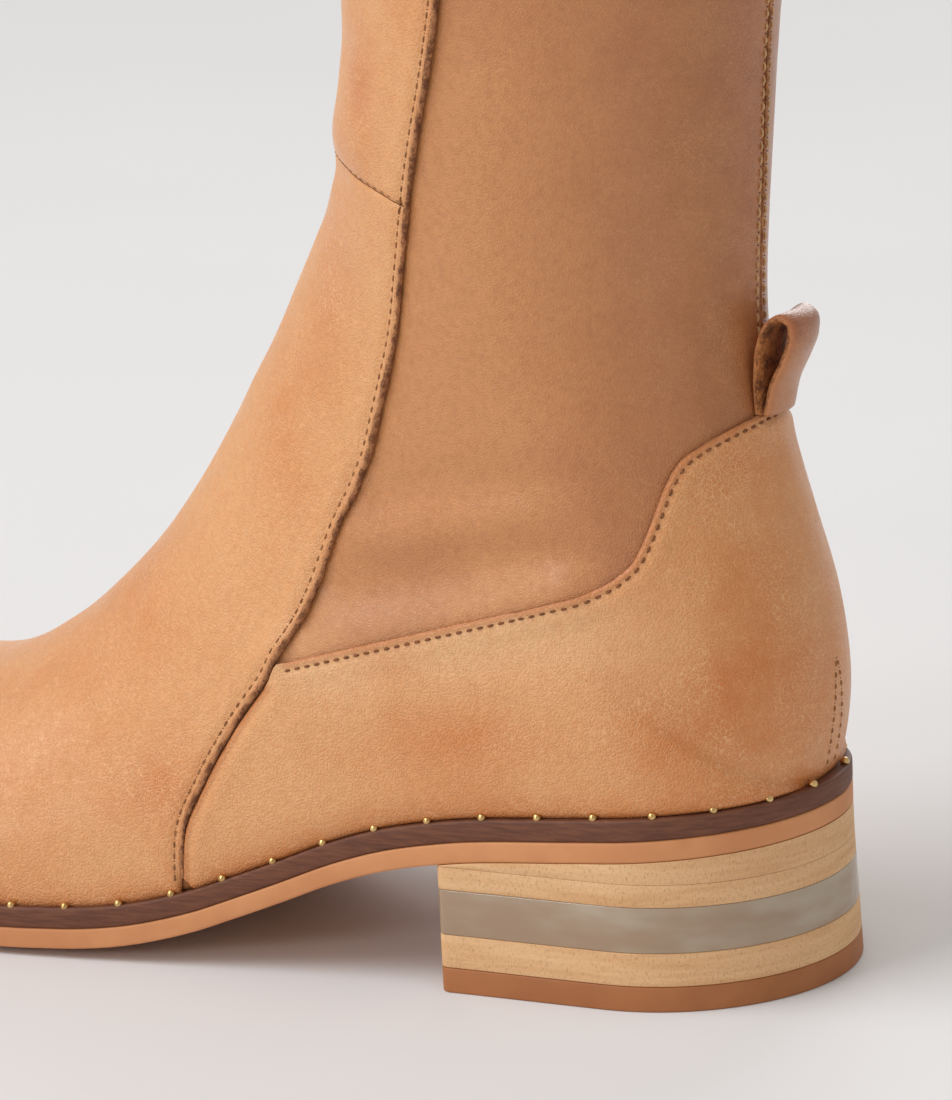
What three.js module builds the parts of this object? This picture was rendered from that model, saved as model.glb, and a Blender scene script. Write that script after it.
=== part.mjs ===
// Knee-high leather boot for the left foot, built as the maker's pieces.
// Millimetres, +Z up. The toe points to -Y and the outer (little toe) side is +X.
// "Forward" below is the distance from the back of the heel toward the toe.
import * as THREE from 'three';
import { mergeVertices } from 'three/addons/utils/BufferGeometryUtils.js';

// ---- Driving dimensions -------------------------------------------------
const CENTRE_FORWARD = 125.35;     // forward distance that lands on Y = 0
const SOLE_FRONT = 262;            // tip of the welt
const SOLE_BACK = 0.8;             // back of the welt
const TOE_ROUND_LENGTH = 64;       // how far back the round of the toe starts
const TOE_ROUND_POWER = 2.15;      // fullness of the toe
const HEEL_ROUND_LENGTH = 31;      // radius of the back of the heel
const OUTSOLE_THICKNESS = 3.7;
const WELT_THICKNESS = 3.8;
const INSOLE_THICKNESS = 2.4;
const GAP = 0.3;                   // clearance where two pieces meet
const FLAT_GAP = 0.2;              // clearance between flat heel layers
const FEATHER_GAP = 0.5;           // clearance between the welt and the upper's edge
const FEATHER_ACROSS = 0.92;       // where across the welt that edge stands
const WELT_LEDGE = 2.6;            // width of welt left showing round the upper
const INSOLE_CLEARANCE = 1.2;      // between the insole and the upper's lining
const EDGE_CAMBER = 1.4;           // lift of the forefoot edge above the tread
const CAMBER_START = 0.5;          // share of the half width that stays flat
const CAMBER_FROM = 110;           // forward distance where the camber fades in
const CAMBER_LENGTH = 30;

// Depths below the finished outside of the boot.
const PANEL_OUTSIDE = 0;
const PANEL_INSIDE = 0.95;
const UPPER_OUTSIDE = 1.6;
const UPPER_INSIDE = 3.4;

const HEEL_BREAST = 63.5;          // forward distance of the heel's front face
const HEEL_BREAST_LEAN = 0.8;      // the face leans forward by this at the seat
const HEEL_SPREAD = 1.2;           // the block is this much wider at the floor
const HEEL_SPREAD_HEIGHT = 25;
const TOP_PIECE_TOP = 4.5;
const LOWER_LIFT_TOP = 10.5;
const CLEAR_LAYER_TOP = 18.7;
const UPPER_LIFT_TOP = 22.8;
const WEDGE_FRONT = 55;

const VAMP_TOP_ROW = 24.3;         // station of the seam across the instep
const QUARTER_FIRST_ROW = 10.62;   // station where the side seam leaves the welt
const QUARTER_LAST_ROW = 23.6;     // station of the quarter's top at the back
const SEAM_CLEARANCE = 0.014;      // share of a section left between two panels
const CROSS_SEAM_CLEARANCE = 0.06; // part of a station left at the instep seam
const LOOP_WIDTH = 12;
const LOOP_THICKNESS = 1.5;
const LOOP_WRAP = 0.03;            // how the loop curves round the back seam

// ---- Fineness of the solids ---------------------------------------------
const RING = 11;                   // facets from the ridge to a section's end
const SOLE_ACROSS = [-1, -0.82, -0.5, 0, 0.5, 0.82, 1];
const HEEL_ACROSS = [-1, 1];
const SOLE_STEPS = 32;
const INSOLE_STEPS = 26;
const HEEL_STEPS = 14;
const LOOP_STEPS = 18;
const HALVINGS = 40;               // steps that close in on the quarter's edge
const MERGE_DISTANCE = 1e-3;       // points closer than this become one

// ---- Tables: each row is one section, each column is named --------------
// Sole outline, welt edge.
const SOLE_OUTLINE = table(['forward', 'outer', 'inner'], [
  [0, 31.3, -31.3],
  [30, 32.9, -29.9],
  [63, 34.0, -28.4],
  [85, 35.3, -28.2],
  [105, 37.6, -31.0],
  [125, 40.6, -35.8],
  [145, 43.4, -40.6],
  [165, 45.2, -44.0],
  [185, 45.2, -45.6],
  [205, 43.4, -46.2],
  [225, 41.0, -46.2],
  [262, 37.0, -46.0],
]);

// Height of the outsole's underside: heel seat, arch, tread and toe spring.
const TREAD_LINE = table(['forward', 'height'], [
  [0, 28.4],
  [20, 27.2],
  [40, 25.6],
  [63, 23.2],
  [75, 20.7],
  [85, 17.4],
  [95, 13.2],
  [105, 9.2],
  [115, 5.4],
  [125, 2.5],
  [135, 0.8],
  [145, 0.1],
  [150, 0],
  [172, 0],
  [185, 0.5],
  [200, 1.6],
  [220, 4.2],
  [240, 7.6],
  [262, 11.5],
]);

// Sections of the last that meet the welt, from the toe to the heel.
// Each runs from the ridge down to the feather edge. "widest" is the share of
// the section where it is widest; "top" and "side" are how full it is above
// and below that; "shift" moves the ridge sideways.
const FOOT_SECTIONS = table(
  ['ridgeForward', 'ridgeHeight', 'endForward', 'halfWidth', 'widest', 'top', 'side', 'shift'], [
    [259.4, 21.0, 259.4, 0, 0.60, 2.0, 2.0, -4.5],
    [259.9, 25.0, 257.6, 11.4, 0.60, 2.0, 2.2, -4.5],
    [258.0, 29.8, 253.5, 19.8, 0.60, 2.1, 2.4, -4.5],
    [252.8, 34.4, 246.5, 27.4, 0.64, 2.2, 2.6, -4.5],
    [243.8, 37.6, 236.0, 34.3, 0.68, 2.3, 2.6, -4.5],
    [231.0, 39.0, 221.5, 40.0, 0.72, 2.3, 2.6, -4.5],
    [215.0, 39.4, 203.5, 43.4, 0.74, 2.3, 2.6, -4.5],
    [198.0, 40.2, 184.0, 44.2, 0.76, 2.2, 2.6, -4.2],
    [181.0, 42.2, 164.0, 43.4, 0.76, 2.1, 2.6, -3.6],
    [166.8, 46.6, 144.0, 41.0, 0.76, 2.0, 2.6, -3.0],
    [154.4, 53.6, 124.0, 37.8, 0.74, 2.0, 2.6, -2.4],
    [143.6, 62.0, 104.0, 35.0, 0.72, 2.0, 2.6, -1.8],
    [134.2, 71.0, 84.0, 33.4, 0.70, 2.0, 2.6, -1.2],
    [127.2, 79.6, 64.0, 32.8, 0.68, 2.0, 2.6, -0.8],
    [121.6, 87.6, 46.0, 32.6, 0.66, 2.0, 2.6, -0.4],
    [116.8, 95.3, 30.0, 32.4, 0.64, 2.0, 2.6, 0],
    [113.0, 102.0, 17.0, 32.2, 0.62, 2.0, 2.5, 0],
    [109.0, 108.5, 8.0, 32.0, 0.60, 2.0, 2.4, 0],
    [105.8, 114.3, 3.4, 31.8, 0.58, 2.0, 2.3, 0],
  ]);

// Sections above those, closed round the back, from the heel to the collar.
const SHAFT_SECTIONS = table(
  ['ridgeForward', 'ridgeHeight', 'endForward', 'endHeight', 'halfWidth', 'widest', 'side'], [
    [102.9, 120.0, 0.9, 46.0, 31.7, 0.57, 2.2],
    [100.3, 125.0, 0.5, 55.0, 31.7, 0.56, 2.1],
    [97.7, 130.0, 1.9, 66.0, 31.9, 0.55, 2.0],
    [95.3, 134.8, 5.2, 79.0, 32.2, 0.54, 1.85],
    [93.5, 139.8, 8.8, 93.0, 32.7, 0.53, 1.75],
    [92.1, 145.6, 11.2, 107.0, 33.2, 0.52, 1.65],
    [91.2, 152.5, 12.1, 120.0, 33.6, 0.51, 1.65],
    [90.3, 160.5, 11.4, 135.0, 34.0, 0.50, 1.7],
    [89.3, 171.0, 10.2, 152.0, 34.4, 0.50, 1.8],
    [88.8, 184.0, 8.9, 171.0, 35.2, 0.50, 1.9],
    [88.8, 199.0, 6.7, 192.0, 37.0, 0.50, 2.0],
    [89.8, 219.0, 3.2, 214.0, 40.0, 0.50, 2.0],
    [92.2, 246.0, -2.0, 242.0, 44.6, 0.50, 2.0],
    [96.0, 280.0, -7.6, 276.0, 50.0, 0.50, 2.0],
    [99.8, 315.0, -11.6, 311.0, 54.0, 0.50, 2.0],
    [102.6, 350.0, -13.0, 344.0, 56.2, 0.50, 2.0],
    [104.6, 382.0, -12.0, 374.0, 56.8, 0.50, 2.0],
    [105.8, 412.0, -10.4, 402.0, 56.8, 0.50, 2.0],
  ]);

// Side seam: share of each section (station) that the front panels cover.
const SIDE_SEAM = table(['station', 'share'], [
  [10.5, 1.0],
  [10.9, 0.81],
  [11.4, 0.69],
  [12.0, 0.595],
  [13.0, 0.49],
  [14.0, 0.41],
  [15.0, 0.345],
  [16.0, 0.302],
  [17.0, 0.277],
  [18.5, 0.265],
  [20.2, 0.261],
  [22.0, 0.275],
  [24.0, 0.306],
  [26.0, 0.345],
  [28.0, 0.402],
  [30.0, 0.43],
  [33.0, 0.45],
  [36.0, 0.455],
]);

// Top edge of the heel quarter in the side view, from the back seam forward.
const QUARTER_EDGE = table(['forward', 'height'], [
  [10.0, 102.3],
  [12.6, 101.0],
  [15.5, 99.5],
  [18.0, 98.0],
  [20.2, 95.6],
  [21.7, 92.0],
  [22.8, 88.0],
  [24.0, 84.0],
  [25.5, 80.5],
  [28.5, 77.3],
  [33.0, 74.6],
  [41.0, 72.0],
  [60.0, 66.5],
  [80.0, 60.8],
  [97.0, 55.8],
  [125.0, 47.0],
]);

// Middle line of the pull loop, up one side and down the other.
const PULL_LOOP = table(['forward', 'height'], [
  [11.0, 103.4],
  [11.1, 109.0],
  [10.3, 114.4],
  [8.6, 117.7],
  [6.4, 118.8],
  [4.7, 117.7],
  [4.6, 115.0],
  [6.2, 110.9],
  [8.1, 107.0],
  [9.0, 103.4],
]);

// Colours, one per slot.
const LOOKS = {
  leather: { color: 0xd6975f, roughness: 0.55, metalness: 0 },
  lining: { color: 0xb8784c, roughness: 0.55, metalness: 0 },
  welt: { color: 0x744738, roughness: 0.8, metalness: 0 },
  outsole: { color: 0xce8f64, roughness: 0.6, metalness: 0 },
  wood: { color: 0xd6ac83, roughness: 0.7, metalness: 0 },
  acrylic: { color: 0xa69a8c, roughness: 0.2, metalness: 0 },
  rubber: { color: 0xa86d46, roughness: 0.75, metalness: 0 },
  insole: { color: 0xd9b58c, roughness: 0.8, metalness: 0 },
};

// ---- Small helpers ------------------------------------------------------
function table(columns, rows) {
  return { columns, rows };
}

function column(source, name) {
  const index = source.columns.indexOf(name);
  return source.rows.map((row) => row[index]);
}

// Smooth curve through the points (xs, ys), evaluated at x.
function smoothCurve(xs, ys, x) {
  const last = xs.length - 1;
  const slope = (i) => (ys[i + 1] - ys[i]) / (xs[i + 1] - xs[i]);
  const tangent = (i) => {
    if (i === 0) return slope(0);
    if (i === last) return slope(last - 1);
    const before = xs[i] - xs[i - 1];
    const after = xs[i + 1] - xs[i];
    return (slope(i - 1) * after + slope(i) * before) / (before + after);
  };
  let i = 0;
  while (i < last - 1 && x > xs[i + 1]) i += 1;
  const span = xs[i + 1] - xs[i];
  const t = (x - xs[i]) / span;
  const s = 1 - t;
  return ys[i] * (1 + 2 * t) * s * s + tangent(i) * span * t * s * s
    + ys[i + 1] * t * t * (3 - 2 * t) - tangent(i + 1) * span * t * t * s;
}

const clamp = THREE.MathUtils.clamp;

// ---- Sole outline and levels --------------------------------------------
const OUTLINE_FORWARD = column(SOLE_OUTLINE, 'forward');
const OUTLINE_OUTER = column(SOLE_OUTLINE, 'outer');
const OUTLINE_INNER = column(SOLE_OUTLINE, 'inner');
const TREAD_FORWARD = column(TREAD_LINE, 'forward');
const TREAD_HEIGHT = column(TREAD_LINE, 'height');
const EDGE_FORWARD = column(QUARTER_EDGE, 'forward');
const EDGE_HEIGHT = column(QUARTER_EDGE, 'height');

function outlineCentre(forward) {
  const outer = smoothCurve(OUTLINE_FORWARD, OUTLINE_OUTER, forward);
  const inner = smoothCurve(OUTLINE_FORWARD, OUTLINE_INNER, forward);
  return (outer + inner) / 2;
}

// Share of the full width left by the round of the heel and of the toe.
function outlineRound(forward, inset) {
  const fromBack = (forward - SOLE_BACK - inset) / (HEEL_ROUND_LENGTH - inset);
  const fromTip = (SOLE_FRONT - inset - forward) / (TOE_ROUND_LENGTH - inset);
  const back = 1 - clamp(fromBack, 0, 1);
  const tip = 1 - clamp(fromTip, 0, 1);
  const heelRound = Math.sqrt(1 - back * back);
  const toeRound = (1 - tip ** TOE_ROUND_POWER) ** (1 / TOE_ROUND_POWER);
  return heelRound * toeRound;
}

// Half width of the outline drawn in by "inset".
function outlineHalf(forward, inset) {
  const outer = smoothCurve(OUTLINE_FORWARD, OUTLINE_OUTER, forward);
  const inner = smoothCurve(OUTLINE_FORWARD, OUTLINE_INNER, forward);
  return ((outer - inner) / 2 - inset) * outlineRound(forward, inset);
}

function treadHeight(forward) {
  return Math.max(0, smoothCurve(TREAD_FORWARD, TREAD_HEIGHT, forward));
}

// Lift of the forefoot edge; "across" runs from -1 to 1, "round" is the
// share of the width left, so the tip of the toe is lifted all across.
function edgeLift(forward, across, round) {
  const fade = clamp((forward - CAMBER_FROM) / CAMBER_LENGTH, 0, 1);
  const out = Math.max(0, Math.abs(across) - CAMBER_START) / (1 - CAMBER_START);
  return EDGE_CAMBER * fade * Math.max(out * out, 1 - round);
}

function soleLevel(forward, across, round, above) {
  return treadHeight(forward) + edgeLift(forward, across, round) + above;
}

const WELT_BOTTOM = OUTSOLE_THICKNESS + GAP;
const WELT_TOP = WELT_BOTTOM + WELT_THICKNESS;
const FEATHER = WELT_TOP + FEATHER_GAP;

// ---- Upper surface ------------------------------------------------------
const LAST_FOOT_STATION = FOOT_SECTIONS.rows.length - 1;
const LAST_STATION = LAST_FOOT_STATION + SHAFT_SECTIONS.rows.length;
const STATIONS = Array.from({ length: LAST_STATION + 1 }, (_, i) => i);

function featherHeight(forward) {
  return soleLevel(forward, FEATHER_ACROSS, 1, FEATHER);
}

// One column for all sections; the foot sections fill in what they lack.
function sectionColumn(name, footValue, shaftValue) {
  const foot = FOOT_SECTIONS.columns.includes(name)
    ? column(FOOT_SECTIONS, name) : footValue;
  const shaft = SHAFT_SECTIONS.columns.includes(name)
    ? column(SHAFT_SECTIONS, name) : shaftValue;
  return [...foot, ...shaft];
}

const shaftFill = (value) => SHAFT_SECTIONS.rows.map(() => value);
const FOOT_END_HEIGHTS = column(FOOT_SECTIONS, 'endForward').map(featherHeight);
const SECTION = {
  ridgeForward: sectionColumn('ridgeForward'),
  ridgeHeight: sectionColumn('ridgeHeight'),
  endForward: sectionColumn('endForward'),
  endHeight: sectionColumn('endHeight', FOOT_END_HEIGHTS),
  halfWidth: sectionColumn('halfWidth'),
  widest: sectionColumn('widest'),
  top: sectionColumn('top', null, shaftFill(2)),
  side: sectionColumn('side'),
  shift: sectionColumn('shift', null, shaftFill(0)),
};

function sectionValue(name, station) {
  return smoothCurve(STATIONS, SECTION[name], station);
}

// Unit direction of a line of the side view as the station grows.
function lineDirection(forwardName, heightName, station) {
  const step = 0.02;
  const before = Math.max(0, station - step);
  const after = Math.min(LAST_STATION, station + step);
  const forward = sectionValue(forwardName, after) - sectionValue(forwardName, before);
  const height = sectionValue(heightName, after) - sectionValue(heightName, before);
  const length = Math.hypot(forward, height);
  return { forward: forward / length, height: height / length };
}

// The two ends of a section and its half width at the end, drawn in by depth.
function sectionEnds(station, depth) {
  const ridge = lineDirection('ridgeForward', 'ridgeHeight', station);
  const top = {
    forward: sectionValue('ridgeForward', station) - depth * ridge.height,
    height: sectionValue('ridgeHeight', station) + depth * ridge.forward,
  };
  if (station <= LAST_FOOT_STATION) {
    const low = SOLE_BACK + WELT_LEDGE;
    const high = SOLE_FRONT - WELT_LEDGE;
    const forward = clamp(sectionValue('endForward', station), low, high);
    const share = (forward - low) / (high - low);
    const end = low + depth + share * (high - low - 2 * depth);
    return {
      top,
      end: { forward: end, height: featherHeight(end) },
      endHalf: outlineHalf(end, WELT_LEDGE + depth),
      endCentre: outlineCentre(end),
    };
  }
  const back = lineDirection('endForward', 'endHeight', station);
  const end = {
    forward: sectionValue('endForward', station) + depth * back.height,
    height: sectionValue('endHeight', station) - depth * back.forward,
  };
  return { top, end, endHalf: 0, endCentre: 0 };
}

// Point on the boot: station along the boot, turn 0 at the ridge to PI at the
// section's end, side +1 outer or -1 inner, depth below the outside.
function bootPoint(station, turn, side, depth) {
  const { top, end, endHalf, endCentre } = sectionEnds(station, depth);
  const along = (1 - Math.cos(turn)) / 2;
  const widest = sectionValue('widest', station);
  const full = sectionValue('halfWidth', station);
  const half = full > 0 ? Math.max(full - depth, endHalf) : 0;
  const upperPower = sectionValue('top', station);
  const lowerPower = sectionValue('side', station);
  let reach;
  if (along < widest) {
    const rest = 1 - along / widest;
    reach = half * (1 - rest ** upperPower) ** (1 / upperPower);
  } else {
    const rest = Math.min(1, (along - widest) / (1 - widest));
    reach = endHalf + (half - endHalf) * (1 - rest ** lowerPower) ** (1 / lowerPower);
  }
  const shift = sectionValue('shift', station);
  const x = side * reach + shift + (endCentre - shift) * along;
  const forward = top.forward + (end.forward - top.forward) * along;
  const height = top.height + (end.height - top.height) * along;
  return new THREE.Vector3(x, CENTRE_FORWARD - forward, height);
}

function turnAtShare(share) {
  return Math.acos(1 - 2 * clamp(share, 0, 1));
}

function seamTurn(station) {
  if (station <= SIDE_SEAM.rows[0][0]) return Math.PI;
  const stations = column(SIDE_SEAM, 'station');
  return turnAtShare(smoothCurve(stations, column(SIDE_SEAM, 'share'), station));
}

// Share of a section that lies in front of the quarter's top edge.
function edgeShare(station) {
  const { top, end } = sectionEnds(station, 0);
  const aboveEdge = (share) => {
    const forward = top.forward + (end.forward - top.forward) * share;
    const height = top.height + (end.height - top.height) * share;
    const onEdge = clamp(forward, EDGE_FORWARD[0], EDGE_FORWARD[EDGE_FORWARD.length - 1]);
    return height - smoothCurve(EDGE_FORWARD, EDGE_HEIGHT, onEdge);
  };
  let low = 0;
  let high = 1;
  for (let i = 0; i < HALVINGS; i += 1) {
    const middle = (low + high) / 2;
    if (aboveEdge(middle) > 0) low = middle;
    else high = middle;
  }
  return low;
}

// The quarter begins at its top edge, or just behind the side seam below that.
function quarterTurn(station) {
  const besideSeam = (1 - Math.cos(seamTurn(station))) / 2 + SEAM_CLEARANCE;
  return turnAtShare(Math.max(besideSeam, edgeShare(station)));
}

// ---- Closed bodies from grids of points ---------------------------------
function bodyFromTriangles(points) {
  const geometry = new THREE.BufferGeometry();
  const flat = points.flatMap((p) => [p.x, p.y, p.z]);
  geometry.setAttribute('position', new THREE.Float32BufferAttribute(flat, 3));
  const merged = mergeVertices(geometry, MERGE_DISTANCE);
  const index = Array.from(merged.index.array);
  const kept = [];
  for (let i = 0; i < index.length; i += 3) {
    const [a, b, c] = index.slice(i, i + 3);
    if (a !== b && b !== c && c !== a) kept.push(a, b, c);
  }
  if (signedVolume(merged.attributes.position, kept) < 0) kept.reverse();
  merged.setIndex(kept);
  return merged;
}

function signedVolume(position, index) {
  const [a, b, c] = [new THREE.Vector3(), new THREE.Vector3(), new THREE.Vector3()];
  let total = 0;
  for (let i = 0; i < index.length; i += 3) {
    a.fromBufferAttribute(position, index[i]);
    b.fromBufferAttribute(position, index[i + 1]);
    c.fromBufferAttribute(position, index[i + 2]);
    total += a.dot(b.cross(c));
  }
  return total / 6;
}

function quad(out, a, b, c, d) {
  out.push(a, b, c, a, c, d);
}

// The same face split along its other diagonal.
function quadAcross(out, a, b, c, d) {
  out.push(a, b, d, b, c, d);
}

// Skin between an outer and an inner grid. openAt(row) tells where the ring is
// open: 'ends' for an open strip, 'middle' for one parted at its centre,
// 'closed' for none. The first and last rows are closed over when asked.
// "mirrored" picks the half whose faces are split the other way, so that the
// two sides of the boot, and a panel and what it lies on, have matching facets.
function skinBody(outer, inner, { openAt, capFirst, capLast, mirrored = 'none' }) {
  const out = [];
  const rows = outer.length;
  const cols = outer[0].length;
  const middle = cols / 2 - 1;
  for (let i = 0; i < rows - 1; i += 1) {
    const opening = openAt(i);
    for (let j = 0; j < cols - 1; j += 1) {
      if (opening === 'middle' && j === middle) continue;
      const flip = (mirrored === 'first' && j < middle) || (mirrored === 'second' && j > middle);
      const face = flip ? quadAcross : quad;
      face(out, outer[i][j], outer[i][j + 1], outer[i + 1][j + 1], outer[i + 1][j]);
      face(out, inner[i][j], inner[i + 1][j], inner[i + 1][j + 1], inner[i][j + 1]);
    }
    if (opening !== 'closed') {
      quad(out, outer[i][0], outer[i + 1][0], inner[i + 1][0], inner[i][0]);
      const end = cols - 1;
      quad(out, outer[i][end], inner[i][end], inner[i + 1][end], outer[i + 1][end]);
    }
    if (opening === 'middle') {
      const next = middle + 1;
      quad(out, outer[i][middle], inner[i][middle], inner[i + 1][middle], outer[i + 1][middle]);
      quad(out, outer[i][next], outer[i + 1][next], inner[i + 1][next], inner[i][next]);
    }
  }
  if (capFirst) capRow(out, outer[0], inner[0], capFirst === 'split' ? middle : -1, false);
  if (capLast) capRow(out, outer[rows - 1], inner[rows - 1], -1, true);
  return bodyFromTriangles(out);
}

function capRow(out, outerRow, innerRow, skip, last) {
  for (let j = 0; j < outerRow.length - 1; j += 1) {
    if (j === skip) continue;
    if (last) quad(out, outerRow[j], outerRow[j + 1], innerRow[j + 1], innerRow[j]);
    else quad(out, outerRow[j], innerRow[j], innerRow[j + 1], outerRow[j + 1]);
  }
}

function range(from, to, count) {
  return Array.from({ length: count + 1 }, (_, i) => from + ((to - from) * i) / count);
}

// Ring of points over the ridge, from the inner side's end to the outer's.
// A section cut short by a seam keeps the full section's points up to there.
function overRidge(station, lastTurn, depth) {
  const turns = range(0, Math.PI, RING).map((t) => Math.min(t, lastTurn));
  const innerSide = turns.slice(1).reverse().map((t) => bootPoint(station, t, -1, depth));
  const outerSide = turns.map((t) => bootPoint(station, t, 1, depth));
  return [...innerSide, ...outerSide];
}

// Ring of points round the back, from the outer side's edge to the inner's.
function roundBack(station, firstTurn, depth) {
  const turns = range(0, Math.PI, RING).map((t) => Math.max(t, firstTurn));
  const outerSide = turns.map((t) => bootPoint(station, t, 1, depth));
  const innerSide = turns.reverse().map((t) => bootPoint(station, t, -1, depth));
  return [...outerSide, ...innerSide];
}

// ---- Upper and its panels -----------------------------------------------
// Stations shared by the upper and the panels on it, so their facets line up.
const SHARED_STATIONS = [
  ...range(0, 4.2, 6), ...range(5, 10, 5), 10.4, QUARTER_FIRST_ROW, 10.8,
  ...range(11, 13, 4), ...range(14, 22, 8), 22.5, 23, 23.35, ...range(24, 30, 6),
  ...range(32, LAST_STATION, 2),
];

function stationsBetween(from, to) {
  const inside = SHARED_STATIONS.filter((s) => s > from + 0.05 && s < to - 0.05);
  return [from, ...inside, to];
}

function upperBody() {
  const stations = SHARED_STATIONS;
  const ring = (depth) => stations.map((s) => overRidge(s, Math.PI, depth));
  const openAt = (row) => (stations[row] < LAST_FOOT_STATION ? 'ends' : 'closed');
  const shape = { openAt, capLast: true, mirrored: 'first' };
  return skinBody(ring(UPPER_OUTSIDE), ring(UPPER_INSIDE), shape);
}

function vampBody() {
  const stations = stationsBetween(0, VAMP_TOP_ROW);
  const ring = (depth) => stations.map((s) => overRidge(s, seamTurn(s), depth));
  const shape = { openAt: () => 'ends', capLast: true, mirrored: 'first' };
  return skinBody(ring(PANEL_OUTSIDE), ring(PANEL_INSIDE), shape);
}

function shaftFrontBody() {
  const stations = stationsBetween(VAMP_TOP_ROW + CROSS_SEAM_CLEARANCE, LAST_STATION);
  const ring = (depth) => stations.map((s) => overRidge(s, seamTurn(s), depth));
  const shape = { openAt: () => 'ends', capFirst: 'whole', capLast: true, mirrored: 'first' };
  return skinBody(ring(PANEL_OUTSIDE), ring(PANEL_INSIDE), shape);
}

function quarterBody() {
  const stations = stationsBetween(QUARTER_FIRST_ROW, QUARTER_LAST_ROW);
  const ring = (depth) => stations.map((s) => roundBack(s, quarterTurn(s), depth));
  const openAt = (row) => (stations[row] < LAST_FOOT_STATION ? 'middle' : 'ends');
  const shape = { openAt, capFirst: 'split', capLast: true, mirrored: 'second' };
  return skinBody(ring(PANEL_OUTSIDE), ring(PANEL_INSIDE), shape);
}

// ---- Sole plates and heel layers ----------------------------------------
// Plate between two levels; place(station, across, level) gives its points.
function plateBody(stations, across, place) {
  const grid = (level) => stations.map((s) => across.map((u) => place(s, u, level)));
  const openAt = () => 'ends';
  return skinBody(grid('top'), grid('bottom'), { openAt, capFirst: 'whole', capLast: true });
}

function easedRange(from, to, count) {
  return range(0, Math.PI, count).map((t) => from + ((to - from) * (1 - Math.cos(t))) / 2);
}

function solePlate(inset, bottom, top, count) {
  const stations = easedRange(SOLE_BACK + inset, SOLE_FRONT - inset, count);
  return plateBody(stations, SOLE_ACROSS, (forward, across, level) => {
    const x = outlineCentre(forward) + across * outlineHalf(forward, inset);
    const round = outlineRound(forward, inset);
    const z = soleLevel(forward, across, round, level === 'top' ? top : bottom);
    return new THREE.Vector3(x, CENTRE_FORWARD - forward, z);
  });
}

// Layer of the heel block; the block narrows from the floor up to the seat.
function heelLayer(bottomAt, topAt, front) {
  const shares = range(0, Math.PI / 2, HEEL_STEPS).map((t) => 1 - Math.cos(t));
  return plateBody(shares, HEEL_ACROSS, (share, across, level) => {
    const heightAt = level === 'top' ? topAt : bottomAt;
    const back = SOLE_BACK - heelSpread(heightAt(0));
    const lean = (HEEL_BREAST_LEAN * heightAt(HEEL_BREAST)) / HEEL_SPREAD_HEIGHT;
    const end = front ?? HEEL_BREAST + lean;
    const forward = back + (end - back) * share;
    const z = heightAt(forward);
    const half = outlineHalf(forward, -heelSpread(z));
    const x = outlineCentre(Math.max(0, forward)) + across * half;
    return new THREE.Vector3(x, CENTRE_FORWARD - forward, z);
  });
}

function heelSpread(height) {
  return HEEL_SPREAD * Math.max(0, 1 - height / HEEL_SPREAD_HEIGHT);
}

// ---- Pull loop ----------------------------------------------------------
function loopBody() {
  const corner = ([forward, height]) => new THREE.Vector3(0, CENTRE_FORWARD - forward, height);
  const path = new THREE.CatmullRomCurve3(PULL_LOOP.rows.map(corner));
  const places = range(0, 1, LOOP_STEPS);
  const across = range(-LOOP_WIDTH / 2, LOOP_WIDTH / 2, 2);
  const face = (offset) => places.map((t) => {
    const centre = path.getPointAt(t);
    const along = path.getTangentAt(t);
    return across.map((x) => new THREE.Vector3(
      x,
      centre.y + along.z * offset - LOOP_WRAP * x * x,
      centre.z - along.y * offset));
  });
  const openAt = () => 'ends';
  const half = LOOP_THICKNESS / 2;
  return skinBody(face(half), face(-half), { openAt, capFirst: 'whole', capLast: true });
}

// ---- Assembly -----------------------------------------------------------
const boot = new THREE.Group();
boot.name = 'knee_high_boot';

function addPiece(name, geometry, look) {
  geometry.computeVertexNormals();
  const mesh = new THREE.Mesh(geometry, new THREE.MeshStandardMaterial(LOOKS[look]));
  mesh.name = name;
  mesh.material.name = look;
  boot.add(mesh);
}

const INSOLE_INSET = WELT_LEDGE + UPPER_INSIDE + INSOLE_CLEARANCE;
const INSOLE_TOP = FEATHER + INSOLE_THICKNESS;
const level = (height) => () => height;
const underOutsole = (forward) => treadHeight(Math.max(0, forward)) - FLAT_GAP;

addPiece('outsole', solePlate(0, 0, OUTSOLE_THICKNESS, SOLE_STEPS), 'outsole');
addPiece('welt', solePlate(0, WELT_BOTTOM, WELT_TOP, SOLE_STEPS), 'welt');
addPiece('insole', solePlate(INSOLE_INSET, FEATHER, INSOLE_TOP, INSOLE_STEPS), 'insole');
addPiece('upper', upperBody(), 'lining');
addPiece('vamp', vampBody(), 'leather');
addPiece('shaft_front', shaftFrontBody(), 'leather');
addPiece('heel_quarter', quarterBody(), 'leather');
addPiece('pull_loop', loopBody(), 'leather');
const aboveLayer = (height) => level(height + FLAT_GAP);

addPiece('heel_wedge', heelLayer(aboveLayer(UPPER_LIFT_TOP), underOutsole, WEDGE_FRONT), 'wood');
addPiece('heel_upper_lift', heelLayer(aboveLayer(CLEAR_LAYER_TOP), level(UPPER_LIFT_TOP)), 'wood');
addPiece('heel_clear_layer', heelLayer(aboveLayer(LOWER_LIFT_TOP), level(CLEAR_LAYER_TOP)), 'acrylic');
addPiece('heel_lower_lift', heelLayer(aboveLayer(TOP_PIECE_TOP), level(LOWER_LIFT_TOP)), 'wood');
addPiece('heel_top_piece', heelLayer(level(0), level(TOP_PIECE_TOP)), 'rubber');

export default boot;
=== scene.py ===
"""Left knee-high leather boot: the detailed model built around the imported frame."""
import math

import bmesh
import bpy
import numpy as np
from mathutils import Matrix, Vector, kdtree, noise


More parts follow.
